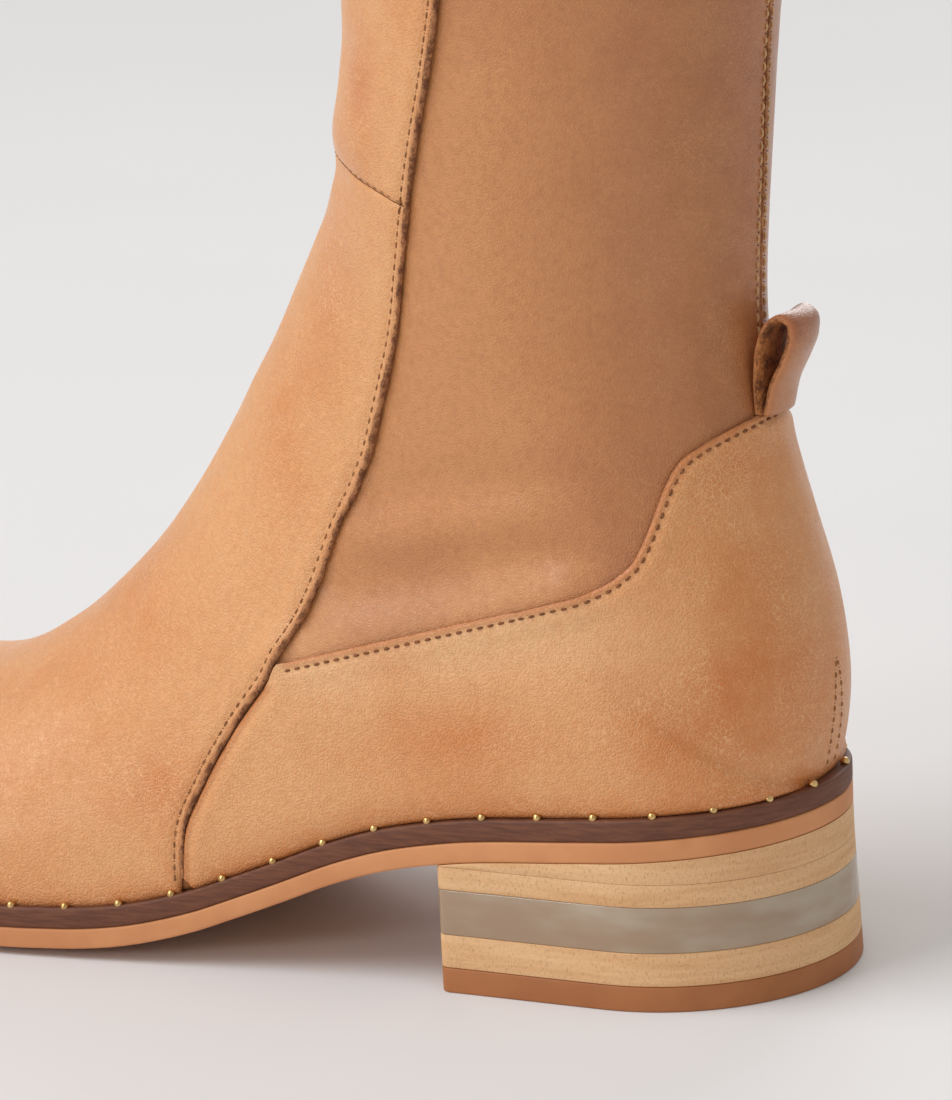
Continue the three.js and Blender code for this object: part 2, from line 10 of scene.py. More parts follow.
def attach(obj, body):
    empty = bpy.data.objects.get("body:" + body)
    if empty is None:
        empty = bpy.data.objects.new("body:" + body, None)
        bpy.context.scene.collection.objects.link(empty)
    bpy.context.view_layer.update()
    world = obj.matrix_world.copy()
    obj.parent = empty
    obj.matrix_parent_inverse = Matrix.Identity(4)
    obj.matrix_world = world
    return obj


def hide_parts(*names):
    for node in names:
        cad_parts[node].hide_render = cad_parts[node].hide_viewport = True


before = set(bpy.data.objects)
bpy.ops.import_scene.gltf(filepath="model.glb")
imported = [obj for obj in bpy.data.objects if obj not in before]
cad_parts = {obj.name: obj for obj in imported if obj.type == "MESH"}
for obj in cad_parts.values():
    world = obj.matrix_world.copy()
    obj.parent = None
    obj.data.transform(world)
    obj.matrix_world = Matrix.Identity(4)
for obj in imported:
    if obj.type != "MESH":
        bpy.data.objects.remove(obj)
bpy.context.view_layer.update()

# Sizes are millimetres in the boot's own terms and become metres in new_mesh().
# "Forward" is the distance from the back of the heel toward the toe.
MM = 0.001
CENTRE_FORWARD = 125.35
SOLE_FRONT, SOLE_BACK = 262.0, 0.8
TOE_ROUND_LENGTH, TOE_ROUND_POWER = 64.0, 2.15
HEEL_ROUND_LENGTH = 31.0
OUTSOLE_THICKNESS, WELT_THICKNESS, INSOLE_THICKNESS = 3.7, 3.8, 2.4
GAP, FLAT_GAP = 0.3, 0.2
WELT_LEDGE = 2.6
EDGE_CAMBER, CAMBER_START, CAMBER_FROM, CAMBER_LENGTH = 1.4, 0.5, 110.0, 30.0
FEATHER_ACROSS = 0.92

# The frame's pieces stand GAP apart; here they close up and meet.
WELT_BOTTOM = OUTSOLE_THICKNESS + GAP
WELT_TOP = WELT_BOTTOM + WELT_THICKNESS
FEATHER = WELT_TOP - 0.1

# Depths below the finished outside of the boot.
PANEL_THICKNESS = 1.15
SIDE_DEPTH, LINING_DEPTH = 1.25, 3.4

HEEL_BREAST, HEEL_BREAST_LEAN = 63.5, 0.8
HEEL_SPREAD, HEEL_SPREAD_HEIGHT = 1.2, 25.0
TOP_PIECE_TOP, LOWER_LIFT_TOP, CLEAR_LAYER_TOP, UPPER_LIFT_TOP = 4.5, 10.5, 18.7, 22.8

CROSS_SEAM_STATION, CROSS_BACK, CROSS_BOW, CROSS_WIDE = 24.3, 0.12, 0.7, 1.3
QUARTER_FIRST_STATION, QUARTER_LAST_STATION = 10.62, 23.6
SEAM_CLEARANCE = 0.014
HALVINGS = 30

# Sole outline at the welt: forward, outer side, inner side.
SOLE_OUTLINE = np.array([
    (0, 31.3, -31.3), (30, 32.9, -29.9), (63, 34, -28.4), (85, 35.3, -28.2),
    (105, 37.6, -31), (125, 40.6, -35.8), (145, 43.4, -40.6), (165, 45.2, -44),
    (185, 45.2, -45.6), (205, 43.4, -46.2), (225, 41, -46.2), (262, 37, -46),
])

# Underside of the outsole: forward, height.
TREAD_LINE = np.array([
    (0, 28.4), (20, 27.2), (40, 25.6), (63, 23.2), (75, 20.7), (85, 17.4), (95, 13.2),
    (105, 9.2), (115, 5.4), (125, 2.5), (135, 0.8), (145, 0.1), (150, 0), (172, 0),
    (185, 0.5), (200, 1.6), (220, 4.2), (240, 7.6), (262, 11.5),
])

# Sections of the last, toe to heel: ridge forward, ridge height, end forward,
# half width, where it is widest, fullness above, fullness below, ridge shift.
FOOT_SECTIONS = np.array([
    (259.4, 21, 259.4, 0, 0.6, 2, 2, -4.5),
    (259.9, 25, 257.6, 11.4, 0.6, 2, 2.2, -4.5),
    (258, 29.8, 253.5, 19.8, 0.6, 2.1, 2.4, -4.5),
    (252.8, 34.4, 246.5, 27.4, 0.64, 2.2, 2.6, -4.5),
    (243.8, 37.6, 236, 34.3, 0.68, 2.3, 2.6, -4.5),
    (231, 39, 221.5, 40, 0.72, 2.3, 2.6, -4.5),
    (215, 39.4, 203.5, 43.4, 0.74, 2.3, 2.6, -4.5),
    (198, 40.2, 184, 44.2, 0.76, 2.2, 2.6, -4.2),
    (181, 42.2, 164, 43.4, 0.76, 2.1, 2.6, -3.6),
    (166.8, 46.6, 144, 41, 0.76, 2, 2.6, -3),
    (154.4, 53.6, 124, 37.8, 0.74, 2, 2.6, -2.4),
    (143.6, 62, 104, 35, 0.72, 2, 2.6, -1.8),
    (134.2, 71, 84, 33.4, 0.7, 2, 2.6, -1.2),
    (127.2, 79.6, 64, 32.8, 0.68, 2, 2.6, -0.8),
    (121.6, 87.6, 46, 32.6, 0.66, 2, 2.6, -0.4),
    (116.8, 95.3, 30, 32.4, 0.64, 2, 2.6, 0),
    (113, 102, 17, 32.2, 0.62, 2, 2.5, 0),
    (109, 108.5, 8, 32, 0.6, 2, 2.4, 0),
    (105.8, 114.3, 3.4, 31.8, 0.58, 2, 2.3, 0),
])

# Sections closed round the back, heel to collar: ridge forward, ridge height,
# end forward, end height, half width, where it is widest, fullness behind.
SHAFT_SECTIONS = np.array([
    (102.9, 120, 0.9, 46, 31.7, 0.57, 2.2),
    (100.3, 125, 0.5, 55, 31.7, 0.56, 2.1),
    (97.7, 130, 1.9, 66, 31.9, 0.55, 2),
    (95.3, 134.8, 5.2, 79, 32.2, 0.54, 1.85),
    (93.5, 139.8, 8.8, 93, 32.7, 0.53, 1.75),
    (92.1, 145.6, 11.2, 107, 33.2, 0.52, 1.65),
    (91.2, 152.5, 12.1, 120, 33.6, 0.51, 1.65),
    (90.3, 160.5, 11.4, 135, 34, 0.5, 1.7),
    (89.3, 171, 10.2, 152, 34.4, 0.5, 1.8),
    (88.8, 184, 8.9, 171, 35.2, 0.5, 1.9),
    (88.8, 199, 6.7, 192, 37, 0.5, 2),
    (89.8, 219, 3.2, 214, 40, 0.5, 2),
    (92.2, 246, -2, 242, 44.6, 0.5, 2),
    (96, 280, -7.6, 276, 50, 0.5, 2),
    (99.8, 315, -11.6, 311, 54, 0.5, 2),
    (102.6, 350, -13, 344, 56.2, 0.5, 2),
    (104.6, 382, -12, 374, 56.8, 0.5, 2),
    (105.8, 412, -10.4, 402, 56.8, 0.5, 2),
])

# Side seam: station, share of the section in front of it.
SIDE_SEAM = np.array([
    (10.5, 1), (10.9, 0.81), (11.4, 0.69), (12, 0.595), (13, 0.49), (14, 0.41),
    (15, 0.345), (16, 0.302), (17, 0.277), (18.5, 0.265), (20.2, 0.261),
    (22, 0.275), (24, 0.306), (26, 0.345), (28, 0.402), (30, 0.43),
    (33, 0.45), (36, 0.455),
])

# Top edge of the heel quarter in the side view, from the back seam forward.
QUARTER_EDGE = np.array([
    (10, 102.3), (12.6, 101), (15.5, 99.5), (18, 98), (20.2, 95.6), (21.7, 92),
    (22.8, 88), (24, 84), (25.5, 80.5), (28.5, 77.3), (33, 74.6), (41, 72),
    (60, 66.5), (80, 60.8), (97, 55.8), (125, 47),
])

# Middle line of the pull loop: forward, height.
PULL_LOOP = np.array([
    (11, 101.6), (11.1, 109), (10.3, 114.4), (8.6, 117.7), (6.4, 118.8),
    (4.7, 117.7), (4.6, 115), (6.2, 110.9), (8.1, 107), (9.5, 101.6),
])


# ---- Surface of the boot ------------------------------------------------
def smooth_curve(points_x, points_y, x):
    """Smooth curve through the points, the same one the frame's solids use."""
    slope = np.diff(points_y) / np.diff(points_x)
    span = np.diff(points_x)
    tangent = np.empty(len(points_x))
    tangent[0], tangent[-1] = slope[0], slope[-1]
    tangent[1:-1] = (slope[:-1] * span[1:] + slope[1:] * span[:-1]) / (span[1:] + span[:-1])
    x = np.asarray(x, float)
    i = np.clip(np.searchsorted(points_x, x) - 1, 0, len(points_x) - 2)
    h = points_x[i + 1] - points_x[i]
    t = (x - points_x[i]) / h
    s = 1 - t
    return (points_y[i] * (1 + 2 * t) * s * s + tangent[i] * h * t * s * s
            + points_y[i + 1] * t * t * (3 - 2 * t) - tangent[i + 1] * h * t * t * s)


def along_table(source, column, x):
    return smooth_curve(source[:, 0], source[:, column], x)


def outline_centre(forward):
    return (along_table(SOLE_OUTLINE, 1, forward) + along_table(SOLE_OUTLINE, 2, forward)) / 2


def outline_round(forward, inset):
    back = 1 - np.clip((forward - SOLE_BACK - inset) / (HEEL_ROUND_LENGTH - inset), 0, 1)
    tip = 1 - np.clip((SOLE_FRONT - inset - forward) / (TOE_ROUND_LENGTH - inset), 0, 1)
    heel_round = np.sqrt(1 - back * back)
    return heel_round * (1 - tip ** TOE_ROUND_POWER) ** (1 / TOE_ROUND_POWER)


def outline_half(forward, inset):
    width = along_table(SOLE_OUTLINE, 1, forward) - along_table(SOLE_OUTLINE, 2, forward)
    return (width / 2 - inset) * outline_round(forward, inset)


def tread_height(forward):
    return np.maximum(0, along_table(TREAD_LINE, 1, forward))


def sole_level(forward, across, roundness, above):
    fade = np.clip((forward - CAMBER_FROM) / CAMBER_LENGTH, 0, 1)
    out = np.maximum(0, np.abs(across) - CAMBER_START) / (1 - CAMBER_START)
    lift = EDGE_CAMBER * fade * np.maximum(out * out, 1 - roundness)
    return tread_height(forward) + lift + above


def feather_height(forward):
    return sole_level(forward, FEATHER_ACROSS, 1, FEATHER)


LAST_FOOT_STATION = len(FOOT_SECTIONS) - 1
LAST_STATION = LAST_FOOT_STATION + len(SHAFT_SECTIONS)
STATIONS = np.arange(LAST_STATION + 1, dtype=float)
SHAFT_ONES = np.ones(len(SHAFT_SECTIONS))
SECTION = {
    "ridge_forward": np.r_[FOOT_SECTIONS[:, 0], SHAFT_SECTIONS[:, 0]],
    "ridge_height": np.r_[FOOT_SECTIONS[:, 1], SHAFT_SECTIONS[:, 1]],
    "end_forward": np.r_[FOOT_SECTIONS[:, 2], SHAFT_SECTIONS[:, 2]],
    "end_height": np.r_[feather_height(FOOT_SECTIONS[:, 2]), SHAFT_SECTIONS[:, 3]],
    "half_width": np.r_[FOOT_SECTIONS[:, 3], SHAFT_SECTIONS[:, 4]],
    "widest": np.r_[FOOT_SECTIONS[:, 4], SHAFT_SECTIONS[:, 5]],
    "above": np.r_[FOOT_SECTIONS[:, 5], 2 * SHAFT_ONES],
    "below": np.r_[FOOT_SECTIONS[:, 6], SHAFT_SECTIONS[:, 6]],
    "shift": np.r_[FOOT_SECTIONS[:, 7], 0 * SHAFT_ONES],
}


def section(name, station):
    return smooth_curve(STATIONS, SECTION[name], station)


def line_direction(forward_name, height_name, station):
    step = 0.02
    before, after = np.maximum(0, station - step), np.minimum(LAST_STATION, station + step)
    forward = section(forward_name, after) - section(forward_name, before)
    height = section(height_name, after) - section(height_name, before)
    length = np.hypot(forward, height)
    return forward / length, height / length


def boot_points(station, turn, side, depth):
    """Points on the boot, in mm. Turn runs from 0 at the ridge to pi at the end."""
    station, turn, side, depth = np.broadcast_arrays(
        np.asarray(station, float), turn, side, np.asarray(depth, float))
    run, rise = line_direction("ridge_forward", "ridge_height", station)
    top_forward = section("ridge_forward", station) - depth * rise
    top_height = section("ridge_height", station) + depth * run
    low, high = SOLE_BACK + WELT_LEDGE, SOLE_FRONT - WELT_LEDGE
    share = (np.clip(section("end_forward", station), low, high) - low) / (high - low)
    foot_forward = low + depth + share * (high - low - 2 * depth)
    run, rise = line_direction("end_forward", "end_height", station)
    on_foot = station <= LAST_FOOT_STATION
    end_forward = np.where(on_foot, foot_forward, section("end_forward", station) + depth * rise)
    end_height = np.where(
        on_foot, feather_height(foot_forward), section("end_height", station) - depth * run)
    end_half = np.where(on_foot, outline_half(foot_forward, WELT_LEDGE + depth), 0)
    end_centre = np.where(on_foot, outline_centre(foot_forward), 0)
    along = (1 - np.cos(turn)) / 2
    widest = section("widest", station)
    full = section("half_width", station)
    half = np.where(full > 0, np.maximum(full - depth, end_half), 0)
    above, below = section("above", station), section("below", station)
    front = 1 - np.clip(along / widest, 0, 1)
    behind = np.clip((along - widest) / (1 - widest), 0, 1)
    reach = np.where(
        along < widest,
        half * (1 - front ** above) ** (1 / above),
        end_half + (half - end_half) * (1 - behind ** below) ** (1 / below))
    shift = section("shift", station)
    x = side * reach + shift + (end_centre - shift) * along
    forward = top_forward + (end_forward - top_forward) * along
    height = top_height + (end_height - top_height) * along
    return np.stack([x, CENTRE_FORWARD - forward, height], -1)


def turn_at(share):
    return np.arccos(1 - 2 * np.clip(share, 0, 1))


def seam_turn(station):
    station = np.asarray(station, float)
    share = along_table(SIDE_SEAM, 1, np.maximum(station, SIDE_SEAM[0, 0]))
    return np.where(station <= SIDE_SEAM[0, 0], math.pi, turn_at(share))


def edge_share(station):
    """Share of a section that lies in front of the quarter's top edge."""
    top, end = (boot_points(station, np.full_like(station, t), 1, 0) for t in (0.0, math.pi))
    low, high = np.zeros_like(station), np.ones_like(station)
    for _ in range(HALVINGS):
        middle = (low + high) / 2
        at = top + (end - top) * middle[..., None]
        forward = np.clip(CENTRE_FORWARD - at[..., 1], QUARTER_EDGE[0, 0], QUARTER_EDGE[-1, 0])
        above = at[..., 2] > along_table(QUARTER_EDGE, 1, forward)
        low, high = np.where(above, middle, low), np.where(above, high, middle)
    return low


def quarter_turn(station):
    """The quarter begins at its top edge, or just behind the side seam below that."""
    station = np.asarray(station, float)
    beside_seam = (1 - np.cos(seam_turn(station))) / 2 + SEAM_CLEARANCE
    return turn_at(np.maximum(beside_seam, edge_share(station)))


def cross_station(turn):
    """Where the instep seam runs: it drops a little toward the sides."""
    return CROSS_SEAM_STATION - CROSS_BACK + CROSS_BOW * np.sin(np.clip(turn, 0, CROSS_WIDE)) ** 2


# ---- Helpers for lines on the surface -----------------------------------
def unit(vectors):
    return vectors / np.maximum(np.linalg.norm(vectors, axis=-1, keepdims=True), 1e-9)


def surface_normal(station, turn, side, depth):
    """Outward normal, from small steps along and round the boot."""
    step = 0.01
    along = (boot_points(np.minimum(station + step, LAST_STATION), turn, side, depth)
             - boot_points(np.maximum(station - step, 0), turn, side, depth))
    round_ = (boot_points(station, np.minimum(turn + step, math.pi), side, depth)
              - boot_points(station, np.maximum(turn - step, 0), side, depth))
    return unit(np.cross(round_, along)) * np.asarray(side)[..., None]


def even_line(station, turn, side, depth, pitch):
    """Resamples a line on the surface evenly: points, tangents, normals and place."""
    station, turn, side = np.broadcast_arrays(station, turn, side)
    length = run_length(boot_points(station, turn, side, depth))
    wanted = np.arange(0, length[-1], pitch)
    place = tuple(np.interp(wanted, length, v) for v in (station, turn, side))
    line = boot_points(*place, depth)
    return line, unit(np.gradient(line, axis=0)), surface_normal(*place, depth), place


def run_length(points):
    """Distance along a line of points, from its first one."""
    return np.r_[0, np.cumsum(np.linalg.norm(np.diff(points, axis=0), axis=1))]


def nearest_distance(points, line):
    """Distance from each point to the nearest point of a dense line."""
    tree = kdtree.KDTree(len(line))
    for i, p in enumerate(line):
        tree.insert(p, i)
    tree.balance()
    flat = points.reshape(-1, 3)
    found = np.array([tree.find(p)[2] for p in flat])
    return found.reshape(points.shape[:-1])


def bump(distance, centre, width):
    return np.exp(-(((distance - centre) / width) ** 2))


def smoothstep(low, high, x):
    t = np.clip((x - low) / (high - low), 0, 1)
    return t * t * (3 - 2 * t)


def soft_noise(points, scale, seed):
    """Smooth repeatable unevenness from -1 to 1 at each point; scale in mm."""
    offset = Vector((seed * 3.7, seed * 1.9, seed * 5.3))
    flat = points.reshape(-1, 3) / scale
    values = [noise.noise(Vector(p) + offset) for p in flat]
    return np.array(values).reshape(points.shape[:-1])


# ---- Meshes -------------------------------------------------------------
TUBE_SIDES, THREAD_SIDES, HOLE_SIDES = 8, 6, 6
THREAD_RINGS = (-0.5, -0.38, -0.15, 0.15, 0.38, 0.5)
THREAD_PROUD = 0.3
HOLE_RISE, HOLE_DEPTH = 0.05, 0.4


def new_mesh(name, points, faces, materials, face_materials=None, smooth=True):
    mesh = bpy.data.meshes.new(name)
    mesh.from_pydata((np.asarray(points) * MM).tolist(), [], faces)
    for material in materials:
        mesh.materials.append(material)
    if face_materials is not None:
        mesh.polygons.foreach_set("material_index", face_materials)
    mesh.polygons.foreach_set("use_smooth", [smooth] * len(mesh.polygons))
    mesh.validate()
    mesh.update()
    piece = bpy.data.objects.new(name, mesh)
    bpy.context.scene.collection.objects.link(piece)
    return piece


def weld(piece, distance=0.01):
    """Joins points that coincide and turns every face outward."""
    work = bmesh.new()
    work.from_mesh(piece.data)
    bmesh.ops.remove_doubles(work, verts=work.verts, dist=distance * MM)
    bmesh.ops.dissolve_degenerate(work, edges=work.edges, dist=1e-7)
    bmesh.ops.recalc_face_normals(work, faces=work.faces)
    work.to_mesh(piece.data)
    work.free()
    piece.data.polygons.foreach_set("use_smooth", [True] * len(piece.data.polygons))
    piece.data.update()


def paint(piece, name, values):
    """Stores one value per point for the materials."""
    layer = piece.data.attributes.new(name, "FLOAT", "POINT")
    layer.data.foreach_set("value", np.asarray(values, np.float32).ravel())


def skin(name, outer, inner, materials, open_rows, parted=None, caps=(False, False), marks=None):
    """Closed leather skin between two grids of points.

    open_rows[i] says whether row i's ring is open (a rim is added); "parted"
    is the column after which a ring round the back is open in those rows.
    """
    rows, cols = outer.shape[:2]
    points = np.concatenate([outer.reshape(-1, 3), inner.reshape(-1, 3)])
    start = rows * cols
    faces, kinds = [], []

    def add(kind, *corners):
        faces.append(corners)
        kinds.append(kind)

    for i in range(rows - 1):
        a, b = i * cols, (i + 1) * cols
        for j in range(cols - 1):
            if parted is not None and j == parted and open_rows[i]:
                continue
            add(0, a + j, a + j + 1, b + j + 1, b + j)
            add(1, start + a + j, start + b + j, start + b + j + 1, start + a + j + 1)
        split = [] if parted is None else [parted, parted + 1]
        rims = [0, cols - 1] + split if open_rows[i] else [0, cols - 1] if split else []
        for j in rims:
            add(2, a + j, b + j, start + b + j, start + a + j)
    for row, capped in ((0, caps[0]), (rows - 1, caps[1])):
        if not capped:
            continue
        a = row * cols
        for j in range(cols - 1):
            if parted is not None and j == parted and open_rows[min(row, rows - 2)]:
                continue
            add(2, a + j, a + j + 1, start + a + j + 1, start + a + j)
    piece = new_mesh(name, points, faces, materials, kinds)
    for key, values in (marks or {}).items():
        paint(piece, key, np.concatenate([values.ravel(), values.ravel()]))
    weld(piece)
    return piece


def ring_faces(rings, sides, base=0, capped=True):
    """Quads between rings of points that follow each other, with both ends closed."""
    faces = []
    for a in range(base, base + (rings - 1) * sides, sides):
        for j in range(sides):
            k = (j + 1) % sides
            faces.append((a + j, a + k, a + sides + k, a + sides + j))
    if capped:
        last = base + (rings - 1) * sides
        faces += [tuple(range(base + sides - 1, base - 1, -1)), tuple(range(last, last + sides))]
    return faces


def tube(line, radius_out, radius_up, normals, tangents, wobble=0.0):
    """Points and faces of a closed tube along a line, flat or round in section."""
    across = unit(np.cross(normals, tangents))
    angles = np.linspace(0, 2 * math.pi, TUBE_SIDES, endpoint=False)
    scale = np.ones(len(line)) + wobble
    ring = [line + across * (math.cos(a) * radius_out * scale)[:, None]
            + normals * (math.sin(a) * radius_up * scale)[:, None] for a in angles]
    return np.stack(ring, 1).reshape(-1, 3), ring_faces(len(line), TUBE_SIDES)


def merge_parts(parts):
    points, faces, count = [], [], 0
    for part_points, part_faces in parts:
        points.append(part_points)
        faces += [tuple(i + count for i in f) for f in part_faces]
        count += len(part_points)
    return np.concatenate(points), faces


def stitch_parts(line, tangents, normals, length, radius):
    """One short thread per line point, arched up in its middle and sunk at its ends."""
    across = unit(np.cross(normals, tangents))
    angles = np.linspace(0, 2 * math.pi, THREAD_SIDES, endpoint=False)
    rings = []
    for place in THREAD_RINGS:
        rise = THREAD_PROUD * math.cos(math.pi * place) - radius * 0.9
        width = radius * (1 - 0.35 * (2 * place) ** 4)
        middle = line + tangents * (place * length) + normals * rise
        rings.append(np.stack([middle + across * (math.cos(a) * width)
                               + normals * (math.sin(a) * width) for a in angles], 1))
    points = np.stack(rings, 1).reshape(-1, 3)
    count = THREAD_SIDES * len(THREAD_RINGS)
    faces = [f for n in range(len(line))
             for f in ring_faces(len(THREAD_RINGS), THREAD_SIDES, n * count)]
    return points, faces


def hole_parts(line, tangents, normals, radius):
    """Small dark needle holes between the threads, shallow closed cones."""
    across = unit(np.cross(normals, tangents))
    angles = np.linspace(0, 2 * math.pi, HOLE_SIDES, endpoint=False)
    rim = np.stack([line + normals * HOLE_RISE + across * (math.cos(a) * radius)
                    + tangents * (math.sin(a) * radius * 0.8) for a in angles], 1)
    points = np.concatenate([rim, (line - normals * HOLE_DEPTH)[:, None]], 1).reshape(-1, 3)
    faces, sides = [], range(HOLE_SIDES)
    for base in range(0, len(line) * (HOLE_SIDES + 1), HOLE_SIDES + 1):
        faces.append(tuple(base + j for j in reversed(sides)))
        faces += [(base + j, base + (j + 1) % HOLE_SIDES, base + HOLE_SIDES) for j in sides]
    return points, faces


def dress(piece, slot, *nodes):
    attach(piece, "root")
    if nodes:
        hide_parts(*nodes)


# ---- Relief -------------------------------------------------------------
# Soft folds in the leather, seen from the side: forward and height of one end,
# then of the other, half width and rise (minus for a trough).
FOLDS = [
    (104, 151, 78, 150, 5, 1),
    (104, 141.5, 84, 143, 2.6, -0.5),
    (106, 170, 84, 166, 6, -0.5),
    (94, 58.5, 38, 74, 4.2, 1.5),
    (84, 71, 38, 81, 3.8, -1),
    (81, 80, 46, 87, 3, 0.7),
    (80, 88, 40, 94, 3.6, -0.7),
    (112, 96, 100, 70, 6, -0.35),
    (150, 56, 132, 34, 6, -0.3),
    (72, 180, 30, 196, 12, -0.7),
    (66, 240, 24, 262, 16, 0.8),
    (74, 310, 30, 330, 18, -0.9),
    (80, 46, 58, 30, 7, -0.3),
    (36, 58, 20, 34, 8, 0.35),
]
# Burnished patches: forward, height, half length, half height, strength.
BURNISHED = [
    (12, 82, 8, 13, 0.45), (8, 55, 11, 18, 0.9), (23, 49, 11, 9, 0.6),
    (57, 47, 15, 5, 0.5), (72, 42, 12, 5, 0.3), (87, 122, 6, 16, 0.6),
    (98, 97, 8, 17, 0.55), (131, 68, 12, 9, 0.5), (116, 33, 7, 9, 0.6),
    (126, 31, 8, 7, 0.4), (77, 160, 5, 13, 0.8), (170, 36, 22, 7, 0.35),
    (225, 34, 20, 9, 0.8), (14, 96, 12, 7, 0.5),
    (146, 52, 30, 15, 0.4), (90, 230, 12, 30, 0.45), (96, 330, 14, 40, 0.4),
]
# Painted sheen: paler patches of colour standing in for a highlight on both sides of the quarter's
# top edge, in the same columns.
PAINTED_SHEEN_PATCHES = [
    (86, 58, 13, 6, 0.75), (66, 63, 13, 6, 0.85), (46, 68, 12, 7, 0.6),
    (30, 66, 8, 9, 0.3),
]
UNDULATION_SCALE, UNDULATION_RISE = 34.0, 0.28
RELIEF_FADE = (3.0, 14.0)     # height above the welt where the relief comes in


def relief(station, turn, side):
    """Rise of the leather above the plain last, in mm."""
    station, turn, side = np.broadcast_arrays(station, turn, side)
    at = boot_points(station, turn, side, 0)
    forward, height = CENTRE_FORWARD - at[..., 1], at[..., 2]
    rise = UNDULATION_RISE * soft_noise(at, UNDULATION_SCALE, 3)
    for f1, z1, f2, z2, width, amount in FOLDS:
        run, climb = f2 - f1, z2 - z1
        t = ((forward - f1) * run + (height - z1) * climb) / (run * run + climb * climb)
        inside = np.clip(t, 0, 1)
        away = np.hypot(forward - f1 - inside * run, height - z1 - inside * climb)
        rise = rise + amount * np.exp(-((away / width) ** 2))
    above = height - soft_floor(forward)
    ridge = 0.35 + 0.65 * smoothstep(0.0, 0.7, turn)
    return rise * smoothstep(*RELIEF_FADE, above) * ridge


def soft_floor(forward):
    return feather_height(np.clip(forward, 0, SOLE_FRONT))


def patches(points, table):
    """Sum of a table's soft oval patches at each point."""
    forward, height = CENTRE_FORWARD - points[..., 1], points[..., 2]
    return sum(strength * np.exp(-((forward - f) / length) ** 2 - ((height - z) / rise) ** 2)
               for f, z, length, rise, strength in table)


def burnish_and_crease_shade(points):
    """How strongly the leather is burnished at each point, 0 to 1, with painted shade in the crease
    just above the welt.
    """
    total = patches(points, BURNISHED)
    above = points[..., 2] - soft_floor(CENTRE_FORWARD - points[..., 1])
    # Painted shade: a dark band in the crease just above the welt.
    total = total + 0.75 * np.exp(-((np.maximum(0, above) / 4.0) ** 2))
    return np.clip(total, 0, 1)


def surface(station, turn, side, depth):
    return boot_points(station, turn, side, np.asarray(depth) - relief(station, turn, side))


def offset_path(station, turn, side, mm, toward):
    """Moves a line over the surface by mm, toward larger turn or station."""
    step = 0.01
    base = boot_points(station, turn, side, 0)
    by_station = (boot_points(station + step, turn, side, 0) - base) / step
    by_turn = (base - boot_points(station, turn - step, side, 0)) / step
    along = unit(np.gradient(base, axis=0))
    across = unit(np.cross(unit(np.cross(by_turn, by_station)), along))
    a, b, c = (np.sum(by_station ** 2, -1), np.sum(by_station * by_turn, -1),
               np.sum(by_turn ** 2, -1))
    p, q = np.sum(by_station * across, -1), np.sum(by_turn * across, -1)
    scale = a * c - b * b
    d_station, d_turn = (p * c - q * b) / scale, (q * a - p * b) / scale
    sign = np.sign(d_turn if toward == "turn" else d_station)
    turn = np.clip(turn + sign * d_turn * mm, 0, math.pi)
    return station + sign * d_station * mm, turn, side


# ---- Materials ----------------------------------------------------------
def srgb(red, green, blue):
    def linear(value):
        value /= 255
        return value / 12.92 if value <= 0.04045 else ((value + 0.055) / 1.055) ** 2.4
    return (linear(red), linear(green), linear(blue), 1.0)


class Look:
    """A procedural material and short ways to add nodes to it."""

    def __init__(self, name, **values):
        self.material = bpy.data.materials.new(name)
        self.material.use_nodes = True
        self.tree = self.material.node_tree
        self.tree.nodes.clear()
        self.shader = self.add("ShaderNodeBsdfPrincipled", values)
        output = self.add("ShaderNodeOutputMaterial")
        self.tree.links.new(self.shader.outputs[0], output.inputs[0])
        self.place = self.add("ShaderNodeTexCoord").outputs["Object"]

    def add(self, kind, inputs=None, **settings):
        node = self.tree.nodes.new(kind)
        for key, value in settings.items():
            setattr(node, key, value)
        for key, value in (inputs or {}).items():
            self.put(node.inputs[key], value)
        return node

    def put(self, socket, value):
        if isinstance(value, bpy.types.NodeSocket):
            self.tree.links.new(value, socket)
        else:
            socket.default_value = value

    def set(self, name, value):
        self.put(self.shader.inputs[name], value)

    def stretched(self, x, y, z):
        return self.add("ShaderNodeMapping", {"Vector": self.place, "Scale": (x, y, z)}).outputs[0]

    def noise(self, scale, detail=2.0, rough=0.5, place=None):
        return self.add("ShaderNodeTexNoise", {
            "Vector": place or self.place, "Scale": scale, "Detail": detail,
            "Roughness": rough}).outputs[0]

    def cells(self, scale, place=None):
        return self.add("ShaderNodeTexVoronoi", {"Vector": place or self.place, "Scale": scale},
                        feature="DISTANCE_TO_EDGE").outputs[0]

    def span(self, value, low, high, out_low=0.0, out_high=1.0):
        return self.add("ShaderNodeMapRange", {
            0: value, 1: low, 2: high, 3: out_low, 4: out_high},
            interpolation_type="SMOOTHSTEP").outputs[0]

    def mix(self, factor, first, second):
        return self.add("ShaderNodeMix", {0: factor, 6: first, 7: second},
                        data_type="RGBA").outputs[2]

    def math(self, operation, first, second):
        return self.add("ShaderNodeMath", {0: first, 1: second}, operation=operation).outputs[0]

    def times(self, first, second):
        return self.math("MULTIPLY", first, second)

    def mark(self, name):
        return self.add("ShaderNodeAttribute", attribute_name=name).outputs["Fac"]

    def bump(self, height, distance, strength=1.0):
        self.set("Normal", self.add("ShaderNodeBump", {
            "Height": height, "Distance": distance * MM, "Strength": strength}).outputs[0])


